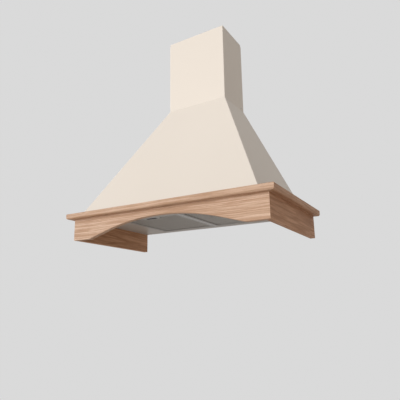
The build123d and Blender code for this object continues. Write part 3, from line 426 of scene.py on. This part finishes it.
def screw_tree():
    """Turns each point into a cross-head screw that points along its attribute 'out'."""
    sizes = ("Head Radius", "Head Height", "Head Band", "Shank Radius", "Thread Height", "Recess Width",
             "Recess Length", "Recess Depth")
    kinds = {size: "Float" for size in sizes}
    tree, given, result = new_tree("cross_head_screws", {**kinds, "Finish": "Material"})
    size = {label: given.outputs[label] for label in sizes}

    def add(kind, inputs=None, output=0, **settings):
        return add_node(tree, kind, inputs, output, **settings)

    def maths(operation, first, second):
        return add("ShaderNodeMath", {0: first, 1: second}, operation=operation)

    def vector(x, y, z):
        return add("ShaderNodeCombineXYZ", {"X": x, "Y": y, "Z": z})

    def moved(geometry, place):
        return add("GeometryNodeTransform", {"Geometry": geometry, "Translation": place})

    band = add("GeometryNodeMeshCylinder",
               {"Vertices": head_facets, "Radius": size["Head Radius"], "Depth": size["Head Band"]})
    band = moved(band, vector(0, 0, maths("MULTIPLY", size["Head Band"], 0.5)))
    dome_height = maths("SUBTRACT", size["Head Height"], size["Head Band"])
    crown = maths("MULTIPLY", size["Head Radius"], crown_share)
    dome = add("GeometryNodeMeshCone",
               {"Vertices": head_facets, "Side Segments": 3, "Radius Top": crown,
                "Radius Bottom": size["Head Radius"], "Depth": dome_height})
    dome = moved(dome, vector(0, 0, size["Head Band"]))
    cut_height = maths("MULTIPLY", size["Recess Depth"], 2)
    recess_size = vector(size["Recess Length"], size["Recess Width"], cut_height)
    slot = moved(add("GeometryNodeMeshCube", {"Size": recess_size}), vector(0, 0, size["Head Height"]))
    crossing = add("GeometryNodeTransform", {"Geometry": slot, "Rotation": (0, 0, math.pi / 2)})
    head = add("GeometryNodeMeshBoolean", {1: [band, dome]}, operation="UNION", solver="MANIFOLD")
    head = add("GeometryNodeMeshBoolean", {0: head, 1: [slot, crossing]}, operation="DIFFERENCE",
               solver="MANIFOLD")
    shank = add("GeometryNodeMeshCylinder",
                {"Vertices": shank_facets, "Radius": size["Shank Radius"], "Depth": 1.0})
    shank = moved(shank, (0, 0, -0.5))
    line = add("GeometryNodeCurveSpiral",
               {"Resolution": shank_facets, "Rotations": thread_turns, "Start Radius": size["Shank Radius"],
                "End Radius": size["Shank Radius"], "Height": 1.0 - 2 * thread_margin})
    ridge = add("GeometryNodeCurvePrimitiveCircle", {"Resolution": 3, "Radius": size["Thread Height"]})
    thread = add("GeometryNodeCurveToMesh", {"Curve": line, "Profile Curve": ridge, "Fill Caps": True})
    thread = moved(thread, (0, 0, thread_margin - 1.0))
    way = add("GeometryNodeInputNamedAttribute", {"Name": "out"}, data_type="FLOAT_VECTOR")
    reach = add("GeometryNodeInputNamedAttribute", {"Name": "reach"}, data_type="FLOAT")
    turn = add("FunctionNodeAlignRotationToVector", {"Vector": way}, axis="Z")
    seats = given.outputs["Geometry"]
    heads = add("GeometryNodeInstanceOnPoints", {"Points": seats, "Instance": head, "Rotation": turn})
    stem = add("GeometryNodeJoinGeometry", {"Geometry": [shank, thread]})
    stems = add("GeometryNodeInstanceOnPoints",
                {"Points": seats, "Instance": stem, "Rotation": turn, "Scale": vector(1, 1, reach)})
    screws = add("GeometryNodeJoinGeometry", {"Geometry": [heads, stems]})
    real = add("GeometryNodeRealizeInstances", {"Geometry": screws})
    flat = add("GeometryNodeSetShadeSmooth", {"Geometry": real, "Shade Smooth": False})
    done = add("GeometryNodeSetMaterial", {"Geometry": flat, "Material": given.outputs["Finish"]})
    tree.links.new(done, result.inputs["Geometry"])
    return tree


def plated_steel():
    bright = (0.66, 0.66, 0.64)
    yellowed = (0.58, 0.56, 0.50)
    clouds_per_metre = 900
    finish = Finish("zinc_plated_screws", bright, roughness=0.3, metallic=0.95)
    cloud = finish.noise(finish.place(), scale=clouds_per_metre)
    finish.give("Base Color", finish.blend(cloud, yellowed, bright))
    finish.give("Roughness", finish.vary(cloud, 0.24, 0.4))
    return finish


screw_steel = plated_steel()
screws = screw_tree()
screw_sizes = {
    "Head Radius": head_radius, "Head Height": head_height, "Head Band": head_band,
    "Shank Radius": shank_radius, "Thread Height": thread_height, "Recess Width": recess_width,
    "Recess Length": recess_length, "Recess Depth": recess_depth, "Finish": screw_steel.material,
}
bodies = {"wood_screws": "hood", "sheet_metal_screws": "hood", "ceiling_bracket_screws": "upper_chimney"}
for node, body in bodies.items():
    places = [screw_place(points) for points in solids_of(node)]
    seats = bpy.data.meshes.new(node + "_seats")
    seats.from_pydata([seat for seat, out, reach in places], [], [])
    seats.attributes.new("out", "FLOAT_VECTOR", "POINT")
    seats.attributes.new("reach", "FLOAT", "POINT")
    for index, (seat, out, reach) in enumerate(places):
        seats.attributes["out"].data[index].vector = out
        seats.attributes["reach"].data[index].value = reach
    grown(node + "_cross_head", screws, seats, screw_sizes, body, "screw_steel", node)

# ---- Underside panel and centre rail ------------------------------------------------------------
# A folded steel sheet closes the hood from below, painted a satin grey, with turned-up rims round
# the filter opening. The rail between the two filters is bare, brushed steel, and catches the light
# as a thin bright line.

grey_paint = powder_coat("grey_panel_paint", (0.46, 0.428, 0.398), roughness=0.42)
dress(grey_paint, "underside_panel")


def brushed(name, colour, along, roughness=0.32, metallic=0.9):
    """Metal with fine scratches that run along one direction."""
    ends_per_metre, scratches_per_metre, clouds_per_metre = 8, 1400, 9
    scratch_shade, scratch_depth = 0.8, 0.00002
    from_scratches, from_clouds = 0.12, 0.08
    finish = Finish(name, colour, roughness, metallic)
    stretch = tuple(ends_per_metre if axis == along else scratches_per_metre for axis in "XYZ")
    scratch = finish.noise(finish.place(stretch=stretch), detail=2.0)
    cloud = finish.noise(finish.place(), scale=clouds_per_metre)
    dull = tuple(channel * scratch_shade for channel in colour)
    finish.give("Base Color", finish.blend(finish.vary(scratch, 0.0, 1.0), dull, colour))
    rougher = finish.maths("ADD", finish.maths("MULTIPLY", scratch, from_scratches),
                           finish.maths("MULTIPLY", cloud, from_clouds))
    least = roughness - (from_scratches + from_clouds) / 2
    finish.give("Roughness", finish.maths("ADD", rougher, least))
    finish.relief(scratch, scratch_depth, 0.4)
    return finish


dress(brushed("brushed_rail", (0.67, 0.66, 0.64), along="Y", roughness=0.4, metallic=0.5), "centre_rail")

# ---- Grease filters -----------------------------------------------------------------------------
# Two cassettes hang in the opening. Each has a rolled aluminium frame round a pad of expanded metal:
# two coarse outer layers over a finer pack, darkened by painted shade in its gaps. A plate near the
# front edge has the finger slot, and behind it slides the plastic latch.

frame_metal = brushed("filter_frame_metal", (0.43, 0.407, 0.385), along="Y", roughness=0.5, metallic=0.5)
dress(frame_metal, "latch_plate_left", "latch_plate_right")
frame_edge = 0.002
cell_width = 0.008
cell_length = 0.0045
strand_width = 0.0008
strand_thickness = 0.0006
pack_thickness = 0.0026
pad_play = 0.0005
slot_width = 0.050
slot_length = 0.015
cup_wall = 0.0002
tongue_thickness = 0.0018
tongue_half_width = 0.0123


def mesh_tree():
    """Expanded metal: rows of zigzag strands that meet at their bends, cut to the pad's outline."""
    kinds = {
        "Corner": "Vector", "Far Corner": "Vector", "Cell Width": "Float", "Cell Length": "Float",
        "Strand Width": "Float", "Strand Thickness": "Float", "Notch Half Width": "Float",
        "Notch End": "Float", "Bends": "Int", "Rows": "Int",
    }
    tree, given, result = new_tree("expanded_metal", {**kinds, "Finish": "Material"})
    size = {label: given.outputs[label] for label in kinds}

    def add(kind, inputs=None, output=0, **settings):
        return add_node(tree, kind, inputs, output, **settings)

    def maths(operation, first, second):
        return add("ShaderNodeMath", {0: first, 1: second}, operation=operation)

    def split(vector):
        node = tree.nodes.new("ShaderNodeSeparateXYZ")
        tree.links.new(vector, node.inputs[0])
        return node.outputs

    half_cell = maths("MULTIPLY", size["Cell Width"], 0.5)
    row_pitch = maths("MULTIPLY", size["Cell Length"], 0.5)
    step = add("ShaderNodeCombineXYZ", {"X": half_cell})
    strand = add("GeometryNodeMeshLine", {"Count": size["Bends"], "Offset": step}, mode="OFFSET")
    index = add("GeometryNodeInputIndex")
    odd = maths("MODULO", index, 2.0)
    swing = maths("SUBTRACT", row_pitch, size["Strand Width"])
    bend = add("ShaderNodeCombineXYZ", {"Y": maths("MULTIPLY", maths("SUBTRACT", odd, 0.5), swing)})
    zigzag = add("GeometryNodeSetPosition", {"Geometry": strand, "Offset": bend})
    row_step = add("ShaderNodeCombineXYZ", {"Y": row_pitch})
    rows = add("GeometryNodeMeshLine",
               {"Count": size["Rows"], "Start Location": size["Corner"], "Offset": row_step}, mode="OFFSET")
    back = maths("MULTIPLY", half_cell, -1.0)
    shift = add("ShaderNodeCombineXYZ", {"X": maths("MULTIPLY", odd, back)})
    rows = add("GeometryNodeSetPosition", {"Geometry": rows, "Offset": shift})
    field = add("GeometryNodeRealizeInstances",
                {"Geometry": add("GeometryNodeInstanceOnPoints", {"Points": rows, "Instance": zigzag})})
    here = split(add("GeometryNodeInputPosition"))
    near, far = split(size["Corner"]), split(size["Far Corner"])
    middle = maths("MULTIPLY", maths("ADD", near[0], far[0]), 0.5)
    from_middle = maths("ABSOLUTE", maths("SUBTRACT", here[0], middle), 0.0)
    beside = maths("GREATER_THAN", from_middle, size["Notch Half Width"])
    behind = maths("GREATER_THAN", here[1], size["Notch End"])
    outside = maths("MAXIMUM", maths("LESS_THAN", here[0], near[0]), maths("GREATER_THAN", here[0], far[0]))
    outside = maths("MAXIMUM", outside, maths("GREATER_THAN", here[1], far[1]))
    in_notch = maths("SUBTRACT", 1.0, maths("MAXIMUM", beside, behind))
    cut = maths("MAXIMUM", outside, in_notch)
    trimmed = add("GeometryNodeDeleteGeometry", {"Geometry": field, "Selection": cut}, domain="POINT")
    curves = add("GeometryNodeMeshToCurve", {"Mesh": trimmed})
    profile = add("GeometryNodeCurvePrimitiveQuadrilateral",
                  {"Width": size["Strand Width"], "Height": size["Strand Thickness"]})
    solid = add("GeometryNodeCurveToMesh", {"Curve": curves, "Profile Curve": profile, "Fill Caps": True})
    flat = add("GeometryNodeSetShadeSmooth", {"Geometry": solid, "Shade Smooth": False})
    done = add("GeometryNodeSetMaterial", {"Geometry": flat, "Material": given.outputs["Finish"]})
    tree.links.new(done, result.inputs["Geometry"])
    return tree


expanded = mesh_tree()
strand_metal = brushed("expanded_aluminium", (0.55, 0.525, 0.495), along="X", roughness=0.5, metallic=0.4)


def pack_finish():
    """The knitted wire behind the outer layers: a fine tangle, with painted shade in its gaps."""
    wire = (0.54, 0.52, 0.495)
    gap_painted_shade = (0.25, 0.238, 0.225)
    loops_per_metre = (900, 1300, 900)
    tangles_per_metre = 700
    wire_depth = 0.0006
    finish = Finish("knitted_wire_pack", wire, roughness=0.55, metallic=0.5)
    loops = finish.cells(finish.place(stretch=loops_per_metre), 1.0, output="Distance",
                         feature="DISTANCE_TO_EDGE")
    tangle = finish.noise(finish.place(), scale=tangles_per_metre, detail=4.0)
    between = finish.spread(loops, 0.06, 0.3)
    # The dark gap colour is painted shade; the same mask also gives the gaps their relief.
    open_gap_relief_and_shade = finish.maths("MULTIPLY", between, finish.spread(tangle, 0.35, 0.55, 0.4, 1.0))
    finish.give("Base Color", finish.blend(open_gap_relief_and_shade, wire, gap_painted_shade))
    finish.relief(open_gap_relief_and_shade, -wire_depth, 0.8)
    return finish


pack_metal = pack_finish()


def box_mesh(mesh, low, high):
    """Adds a closed box to a bmesh."""
    made = bmesh.ops.create_cube(mesh, size=1.0)
    for corner in made["verts"]:
        corner.co = Vector(low[axis] if corner.co[axis] < 0 else high[axis] for axis in range(3))


def piece_from(name, mesh, finish, body, slot, *replaced):
    """Makes a bmesh into a finished piece that rides on a body."""
    bmesh.ops.recalc_face_normals(mesh, faces=mesh.faces)
    for face in mesh.faces:
        face.smooth = False
    kept = bpy.data.meshes.new(name)
    mesh.to_mesh(kept)
    mesh.free()
    kept.materials.append(finish.material)
    piece = bpy.data.objects.new(name, kept)
    bpy.context.scene.collection.objects.link(piece)
    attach(piece, body)
    if replaced:
        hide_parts(*replaced)
    return piece


def moulded(name, colour, roughness=0.5, grain=0.00002):
    """Moulded plastic with the fine grain of a spark-eroded tool, which is given as its depth."""
    grains_per_metre, unevenness = 2600, 0.06
    clouds_per_metre, cloud_shade = 18, 0.93
    finish = Finish(name, colour, roughness)
    fine = finish.noise(finish.place(), scale=grains_per_metre, detail=2.0)
    cloud = finish.noise(finish.place(), scale=clouds_per_metre)
    deeper = tuple(channel * cloud_shade for channel in colour)
    finish.give("Base Color", finish.blend(finish.spread(cloud, 0.35, 0.65), deeper, colour))
    finish.give("Roughness", finish.vary(fine, roughness - unevenness, roughness + unevenness))
    finish.relief(fine, grain, 0.6)
    return finish


# The latches are black plastic, and this near-black also darkens the finger slots as painted shade.
latch_plastic = moulded("latch_plastic", (0.03, 0.03, 0.032))
dress(latch_plastic, "filter_latch_left", "filter_latch_right")
same_level = 1e-5


def rolled_frame(side):
    """The filter's frame with its lower outer edges rounded, as the rolled profile is."""
    mesh = bmesh.new()
    mesh.from_mesh(cad_nodes["filter_frame_" + side].data)
    bmesh.ops.remove_doubles(mesh, verts=mesh.verts, dist=same_point)
    bmesh.ops.dissolve_limit(mesh, angle_limit=math.radians(1), verts=mesh.verts, edges=mesh.edges)

    def lies_at(edge, axis, place):
        return all(abs(corner.co[axis] - place) < same_level for corner in edge.verts)

    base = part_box("filter_frame_" + side)[0].z
    at_base = [edge for edge in mesh.edges if lies_at(edge, 2, base)]
    corners = [corner.co for edge in at_base for corner in edge.verts]
    ends = [(axis, pick(place[axis] for place in corners)) for axis in (0, 1) for pick in (min, max)]
    outer = [edge for edge in at_base if any(lies_at(edge, axis, end) for axis, end in ends)]
    bmesh.ops.bevel(mesh, geom=outer, offset=frame_edge, segments=4, profile=0.5, affect="EDGES",
                    clamp_overlap=True)
    piece_from("rolled_frame_" + side, mesh, frame_metal, "filter_" + side, "filter_aluminium",
               "filter_frame_" + side)


def expanded_layers(side):
    """Two layers of expanded metal, cut out round the latch plate."""
    low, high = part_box("filter_mesh_" + side)
    plate_low, plate_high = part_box("latch_plate_" + side)
    half_strand = strand_thickness / 2
    for layer, level in (("lower", low.z + half_strand), ("upper", high.z - half_strand)):
        values = {
            "Corner": (low.x, low.y, level), "Far Corner": (high.x, high.y, level),
            "Cell Width": cell_width, "Cell Length": cell_length, "Strand Width": strand_width,
            "Strand Thickness": strand_thickness,
            "Notch Half Width": (plate_high.x - plate_low.x) / 2 + pad_play,
            "Notch End": plate_high.y + pad_play,
            "Bends": int((high.x - low.x) / (cell_width / 2)) + 3,
            "Rows": int((high.y - low.y) / (cell_length / 2)) + 1, "Finish": strand_metal.material,
        }
        grown(f"expanded_{layer}_{side}", expanded, bpy.data.meshes.new("empty"), values,
              "filter_" + side, "filter_mesh", "filter_mesh_" + side)


def wire_pack(side):
    """The wire pack between the two layers, in three blocks round the latch plate."""
    low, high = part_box("filter_mesh_" + side)
    plate_low, plate_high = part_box("latch_plate_" + side)
    notch_low, notch_high = plate_low.x - pad_play, plate_high.x + pad_play
    notch_end = plate_high.y + pad_play
    middle = (low.z + high.z) / 2
    z_low, z_high = middle - pack_thickness / 2, middle + pack_thickness / 2
    pack = bmesh.new()
    box_mesh(pack, (low.x, notch_end, z_low), (high.x, high.y, z_high))
    box_mesh(pack, (low.x, low.y, z_low), (notch_low, notch_end, z_high))
    box_mesh(pack, (notch_high, low.y, z_low), (high.x, notch_end, z_high))
    piece_from("wire_pack_" + side, pack, pack_metal, "filter_" + side, "filter_mesh", "filter_mesh_" + side)


def slot_shade_cup(side):
    """A thin black cup lines the finger slot and stands in for the shade inside it; the latch's tongue
    slides just above its end wall.
    """
    plate_low, plate_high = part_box("latch_plate_" + side)
    middle = (plate_low.x + plate_high.x) / 2
    x_low, x_high = middle - slot_width / 2, middle + slot_width / 2
    y_low, y_high = plate_low.y, plate_low.y + slot_length
    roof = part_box("filter_latch_" + side)[1].z - tongue_thickness
    cup = bmesh.new()
    box_mesh(cup, (x_low, y_high - cup_wall, plate_low.z), (x_high, y_high, roof - cup_wall / 2))
    box_mesh(cup, (x_low, y_low, plate_low.z), (x_low + cup_wall, y_high, roof))
    box_mesh(cup, (x_high - cup_wall, y_low, plate_low.z), (x_high, y_high, roof))
    box_mesh(cup, (x_low, y_low, roof - cup_wall), (middle - tongue_half_width, y_high, roof))
    box_mesh(cup, (middle + tongue_half_width, y_low, roof - cup_wall), (x_high, y_high, roof))
    piece_from("slot_shade_cup_" + side, cup, latch_plastic, "filter_" + side, "black_plastic")


for side in ("left", "right"):
    rolled_frame(side)
    expanded_layers(side)
    wire_pack(side)
    slot_shade_cup(side)

# ---- Lamps --------------------------------------------------------------------------------------
# Two round lamps sit in the strip in front of the filters: a drawn aluminium can, a satin chrome
# ring that snaps in from below, and a pressed glass lens with fine rings on its face.

can_metal = brushed("lamp_can_metal", (0.62, 0.62, 0.61), along="Z", roughness=0.4)
dress(can_metal, "lamp_can_left", "lamp_can_right")

lens_ring_count = 7
lens_ring_height = 0.0004
lens_ring_share = 0.25
lamp_facets = 96
ring_edge = 0.001
ring_hole = 0.023


def spun(name, outline, middle, finish, body, slot, *replaced, facets=48):
    """Turns an outline of (radius, height) points round an upright axis; the outline runs from
    the axis back to the axis, or closes on itself."""
    mesh = bmesh.new()
    rows = []
    for radius, height in outline:
        corners = []
        for step in range(facets if radius > 0 else 1):
            angle = 2 * math.pi * step / facets
            place = (middle.x + radius * math.cos(angle), middle.y + radius * math.sin(angle), height)
            corners.append(mesh.verts.new(place))
        rows.append(corners)
    pairs = list(zip(rows, rows[1:]))
    if outline[0][0] > 0:
        pairs.append((rows[-1], rows[0]))
    for first, second in pairs:
        for step in range(facets):
            after = (step + 1) % facets
            around = [first[step % len(first)], first[after % len(first)],
                      second[after % len(second)], second[step % len(second)]]
            mesh.faces.new(list(dict.fromkeys(around)))
    return piece_from(name, mesh, finish, body, slot, *replaced)


def glass_finish():
    clear = (0.93, 0.93, 0.90)
    grains_per_metre, frost_depth = 3000, 0.00003
    finish = Finish("frosted_glass", clear, roughness=0.35)
    finish.give("Transmission Weight", 0.75)
    finish.give("IOR", 1.5)
    frost = finish.noise(finish.place(), scale=grains_per_metre, detail=2.0)
    finish.give("Roughness", finish.vary(frost, 0.28, 0.42))
    finish.relief(frost, frost_depth, 0.5)
    return finish


lens_glass = glass_finish()
ring_metal = brushed("satin_chrome", (0.72, 0.72, 0.72), along="X", roughness=0.22, metallic=1.0)


def ringed_lens(side, middle):
    """The lens, flat above and with sharp low rings on its face."""
    low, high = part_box("lamp_lens_" + side)
    radius = (high.x - low.x) / 2
    face = low.z + lens_ring_height
    pitch = radius / (lens_ring_count + 0.5)
    flank = lens_ring_share * pitch
    outline = [(0, high.z), (radius, high.z), (radius, face)]
    for ring in range(lens_ring_count, 0, -1):
        crest = ring * pitch
        outline += [(crest + flank, face), (crest, low.z), (crest - flank, face)]
    outline.append((0, face))
    spun("ringed_lens_" + side, outline, middle, lens_glass, "hood", "lamp_glass", "lamp_lens_" + side,
         facets=lamp_facets)


def snap_ring(side, middle):
    """The ring round the lens, with a bevelled outer edge and a bevel round its hole."""
    low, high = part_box("lamp_bezel_" + side)
    outer, inner = (high.x - low.x) / 2, ring_hole
    corner, bevel = 0.3 * ring_edge, 1.6 * ring_edge
    outline = [(inner, high.z), (outer, high.z), (outer, low.z + ring_edge)]
    outline += [(outer - corner, low.z + corner), (outer - ring_edge, low.z)]
    outline += [(inner + bevel, low.z), (inner, low.z + ring_edge)]
    spun("snap_ring_" + side, outline, middle, ring_metal, "hood", "chrome_ring", "lamp_bezel_" + side,
         facets=lamp_facets)


for side in ("left", "right"):
    lens_low, lens_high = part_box("lamp_lens_" + side)
    lamp_axis = (lens_low + lens_high) / 2
    ringed_lens(side, lamp_axis)
    snap_ring(side, lamp_axis)

# ---- Control plate and buttons ------------------------------------------------------------------
# A black moulded plate between the lamps guides five grey push buttons, with their switch box above.
# Raised marks on the caps tell them apart by touch: a sun for the light, a ring for off, and one,
# two or three pips for the speeds.

black_plastic = moulded("black_plastic", (0.055, 0.055, 0.06), roughness=0.45)
dress(black_plastic, "control_plate", "switch_box")
cap_plastic = moulded("cap_plastic", (0.42, 0.42, 0.42), roughness=0.4)
mark_plastic = moulded("mark_plastic", (0.78, 0.78, 0.76), roughness=0.4)
mark_height = 0.0002
mark_sink = 0.0002
pip_radius = 0.00055
pip_pitch = 0.0018
ring_inner, ring_outer = 0.0018, 0.0025
sun_radius = 0.0012
ray_count = 8
ray_radius = 0.0003
ray_reach = 0.0024


def pip(mesh, x, y, z, radius, sides=16):
    """A round pip on a cap's face, sunk a little into it."""
    bmesh.ops.create_cone(mesh, cap_ends=True, segments=sides, radius1=radius, radius2=radius,
                          depth=mark_height + mark_sink,
                          matrix=Matrix.Translation((x, y, z + (mark_sink - mark_height) / 2)))


pips = {"button_low": 1, "button_medium": 2, "button_high": 3}
for button in ("button_light", "button_off", *pips):
    dress(cap_plastic, button)
    low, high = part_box(button)
    middle = (low + high) / 2
    if button == "button_off":
        top, bottom = low.z + mark_sink, low.z - mark_height
        outline = [(ring_inner, top), (ring_outer, top), (ring_outer, bottom), (ring_inner, bottom)]
        spun("mark_off", outline, middle, mark_plastic, button, "white_plastic")
        continue
    mark = bmesh.new()
    for index in range(pips.get(button, 0)):
        shift = (index - (pips[button] - 1) / 2) * pip_pitch
        pip(mark, middle.x + shift, middle.y, low.z, pip_radius)
    if button == "button_light":
        pip(mark, middle.x, middle.y, low.z, sun_radius)
        for step in range(ray_count):
            angle = 2 * math.pi * step / ray_count
            x, y = middle.x + ray_reach * math.cos(angle), middle.y + ray_reach * math.sin(angle)
            pip(mark, x, y, low.z, ray_radius, sides=8)
    piece_from("mark_" + button.removeprefix("button_"), mark, mark_plastic, button, "white_plastic")

# ---- Blower -------------------------------------------------------------------------------------
# A moulded snail housing in two halves hangs on two steel brackets with rubber washers. The drum
# wheel is pressed from zinc-coated sheet and turns on a ground shaft; the motor has a painted can.

white_plastic = moulded("white_plastic", (0.70, 0.70, 0.67))
dress(white_plastic, "blower_housing_left", "blower_housing_right")
dress(zinc, "wheel_blades", "wheel_rings", "wheel_disc")
dress(brushed("ground_shaft", (0.70, 0.70, 0.70), along="X", roughness=0.25, metallic=1.0), "motor_shaft")
dress(powder_coat("motor_paint", (0.12, 0.125, 0.13), roughness=0.4), "motor")
rubber = moulded("rubber", (0.035, 0.035, 0.035), roughness=0.8, grain=0.00005)
dress(rubber, "rubber_mounts")

# ---- Outlet collar and flaps --------------------------------------------------------------------
# A black moulded funnel stands on the housing and ends in the round spigot for the duct. Two
# half-round flaps lie on a steel pin across it and fall shut when the blower stops.

dress(black_plastic, "outlet_collar", "flap_left", "flap_right")
dress(screw_steel, "flap_pin")

# ---- Terminal box and capacitor -----------------------------------------------------------------
# The supply cable would come through the gland into a white moulded box with a lid. The motor's
# capacitor is a sealed plastic can clipped to the back panel.

dress(white_plastic, "terminal_box", "terminal_lid", "capacitor")
dress(cap_plastic, "cable_gland")

# ---- Light, floor and camera --------------------------------------------------------------------
# A plain pale floor below the hood, one broad soft light from the front left, so low that it reaches
# under the cornice, and an even sky. The floor has faded into the backdrop before it ends. It shows
# in one tone and throws its light back in another.

floor_drop = 1.8
floor_level = cad_box[0].z - floor_drop
floor_size = 12.0
backdrop = 0.70
floor_seen = (0.40, 0.404, 0.408)
floor_glow = 0.47
floor_plain = 1.5
floor_faded = 5.5
floor_bounce = (0.70, 0.63, 0.56)
sky = (0.46, 0.445, 0.433)
key_strength = 2.40
key_spread = 50
key_from = (-0.55, -0.80, 0.10)


def seen_directly(tree):
    """1 for what the camera, a mirror or a glass shows, and 0 for the light that a surface gets."""
    path = tree.nodes.new("ShaderNodeLightPath")
    shown = path.outputs["Is Camera Ray"]
    for kind in ("Is Glossy Ray", "Is Transmission Ray"):
        shown = add_node(tree, "ShaderNodeMath", {0: shown, 1: path.outputs[kind]}, operation="MAXIMUM")
    return shown


def floor():
    half = floor_size / 2
    mesh = bpy.data.meshes.new("floor")
    corners = [(x, y, floor_level) for x, y in ((-half, -half), (half, -half), (half, half), (-half, half))]
    mesh.from_pydata(corners, [], [(0, 1, 2, 3)])
    plane = bpy.data.objects.new("floor", mesh)
    bpy.context.scene.collection.objects.link(plane)
    paint = bpy.data.materials.new("pale_floor")
    paint.use_nodes = True
    tree = paint.node_tree
    tree.nodes.remove(tree.nodes["Principled BSDF"])
    seen = seen_directly(tree)
    tones = {0: seen, 6: (*floor_bounce, 1.0), 7: (*floor_seen, 1.0)}
    tone = add_node(tree, "ShaderNodeMix", tones, 2, data_type="RGBA")
    matt = add_node(tree, "ShaderNodeBsdfDiffuse", {"Color": tone})
    strength = add_node(tree, "ShaderNodeMath", {0: seen, 1: floor_glow}, operation="MULTIPLY")
    glow = add_node(tree, "ShaderNodeEmission", {"Color": (1.0, 1.0, 1.0, 1.0), "Strength": strength})
    both = add_node(tree, "ShaderNodeAddShader", {0: matt, 1: glow})
    place = add_node(tree, "ShaderNodeTexCoord", output="Object")
    flat = add_node(tree, "ShaderNodeVectorMath", {0: place, 1: (1, 1, 0)}, operation="MULTIPLY")
    away = add_node(tree, "ShaderNodeVectorMath", {0: flat}, 1, operation="LENGTH")
    fade = {"Value": away, "From Min": floor_plain, "From Max": floor_faded}
    faded = add_node(tree, "ShaderNodeMapRange", fade)
    share = add_node(tree, "ShaderNodeMath", {0: faded, 1: seen}, operation="MULTIPLY")
    far = add_node(tree, "ShaderNodeEmission", {"Color": (backdrop, backdrop, backdrop, 1.0)})
    shade = add_node(tree, "ShaderNodeMixShader", {0: share, 1: both, 2: far})
    tree.links.new(shade, tree.nodes["Material Output"].inputs["Surface"])
    mesh.materials.append(paint)


def world():
    made = bpy.data.worlds.new("studio")
    bpy.context.scene.world = made
    made.use_nodes = True
    tree = made.node_tree
    tones = {0: seen_directly(tree), 6: (*sky, 1.0), 7: (backdrop, backdrop, backdrop, 1.0)}
    shade = add_node(tree, "ShaderNodeMix", tones, 2, data_type="RGBA")
    tree.links.new(shade, tree.nodes["Background"].inputs["Color"])


def key_light():
    lamp = bpy.data.lights.new("key", "SUN")
    lamp.energy = key_strength
    lamp.angle = math.radians(key_spread)
    holder = bpy.data.objects.new("key", lamp)
    holder.rotation_mode = "QUATERNION"
    holder.rotation_quaternion = (-Vector(key_from)).to_track_quat("-Z", "Y")
    bpy.context.scene.collection.objects.link(holder)


def camera():
    """The photograph's viewpoint: below the hood's frame and to its right, looking up."""
    lens = bpy.data.cameras.new("camera")
    lens.lens = 39.30
    lens.sensor_width = 36.0
    lens.shift_x = 0.075
    lens.shift_y = -0.0049
    holder = bpy.data.objects.new("camera", lens)
    holder.location = (0.89707, -1.75486, -0.57291)
    holder.rotation_euler = (math.radians(103.927), 0.0, math.radians(33.594))
    bpy.context.scene.collection.objects.link(holder)
    bpy.context.scene.camera = holder


floor()
world()
key_light()
camera()
bpy.context.scene.view_settings.view_transform = "Standard"
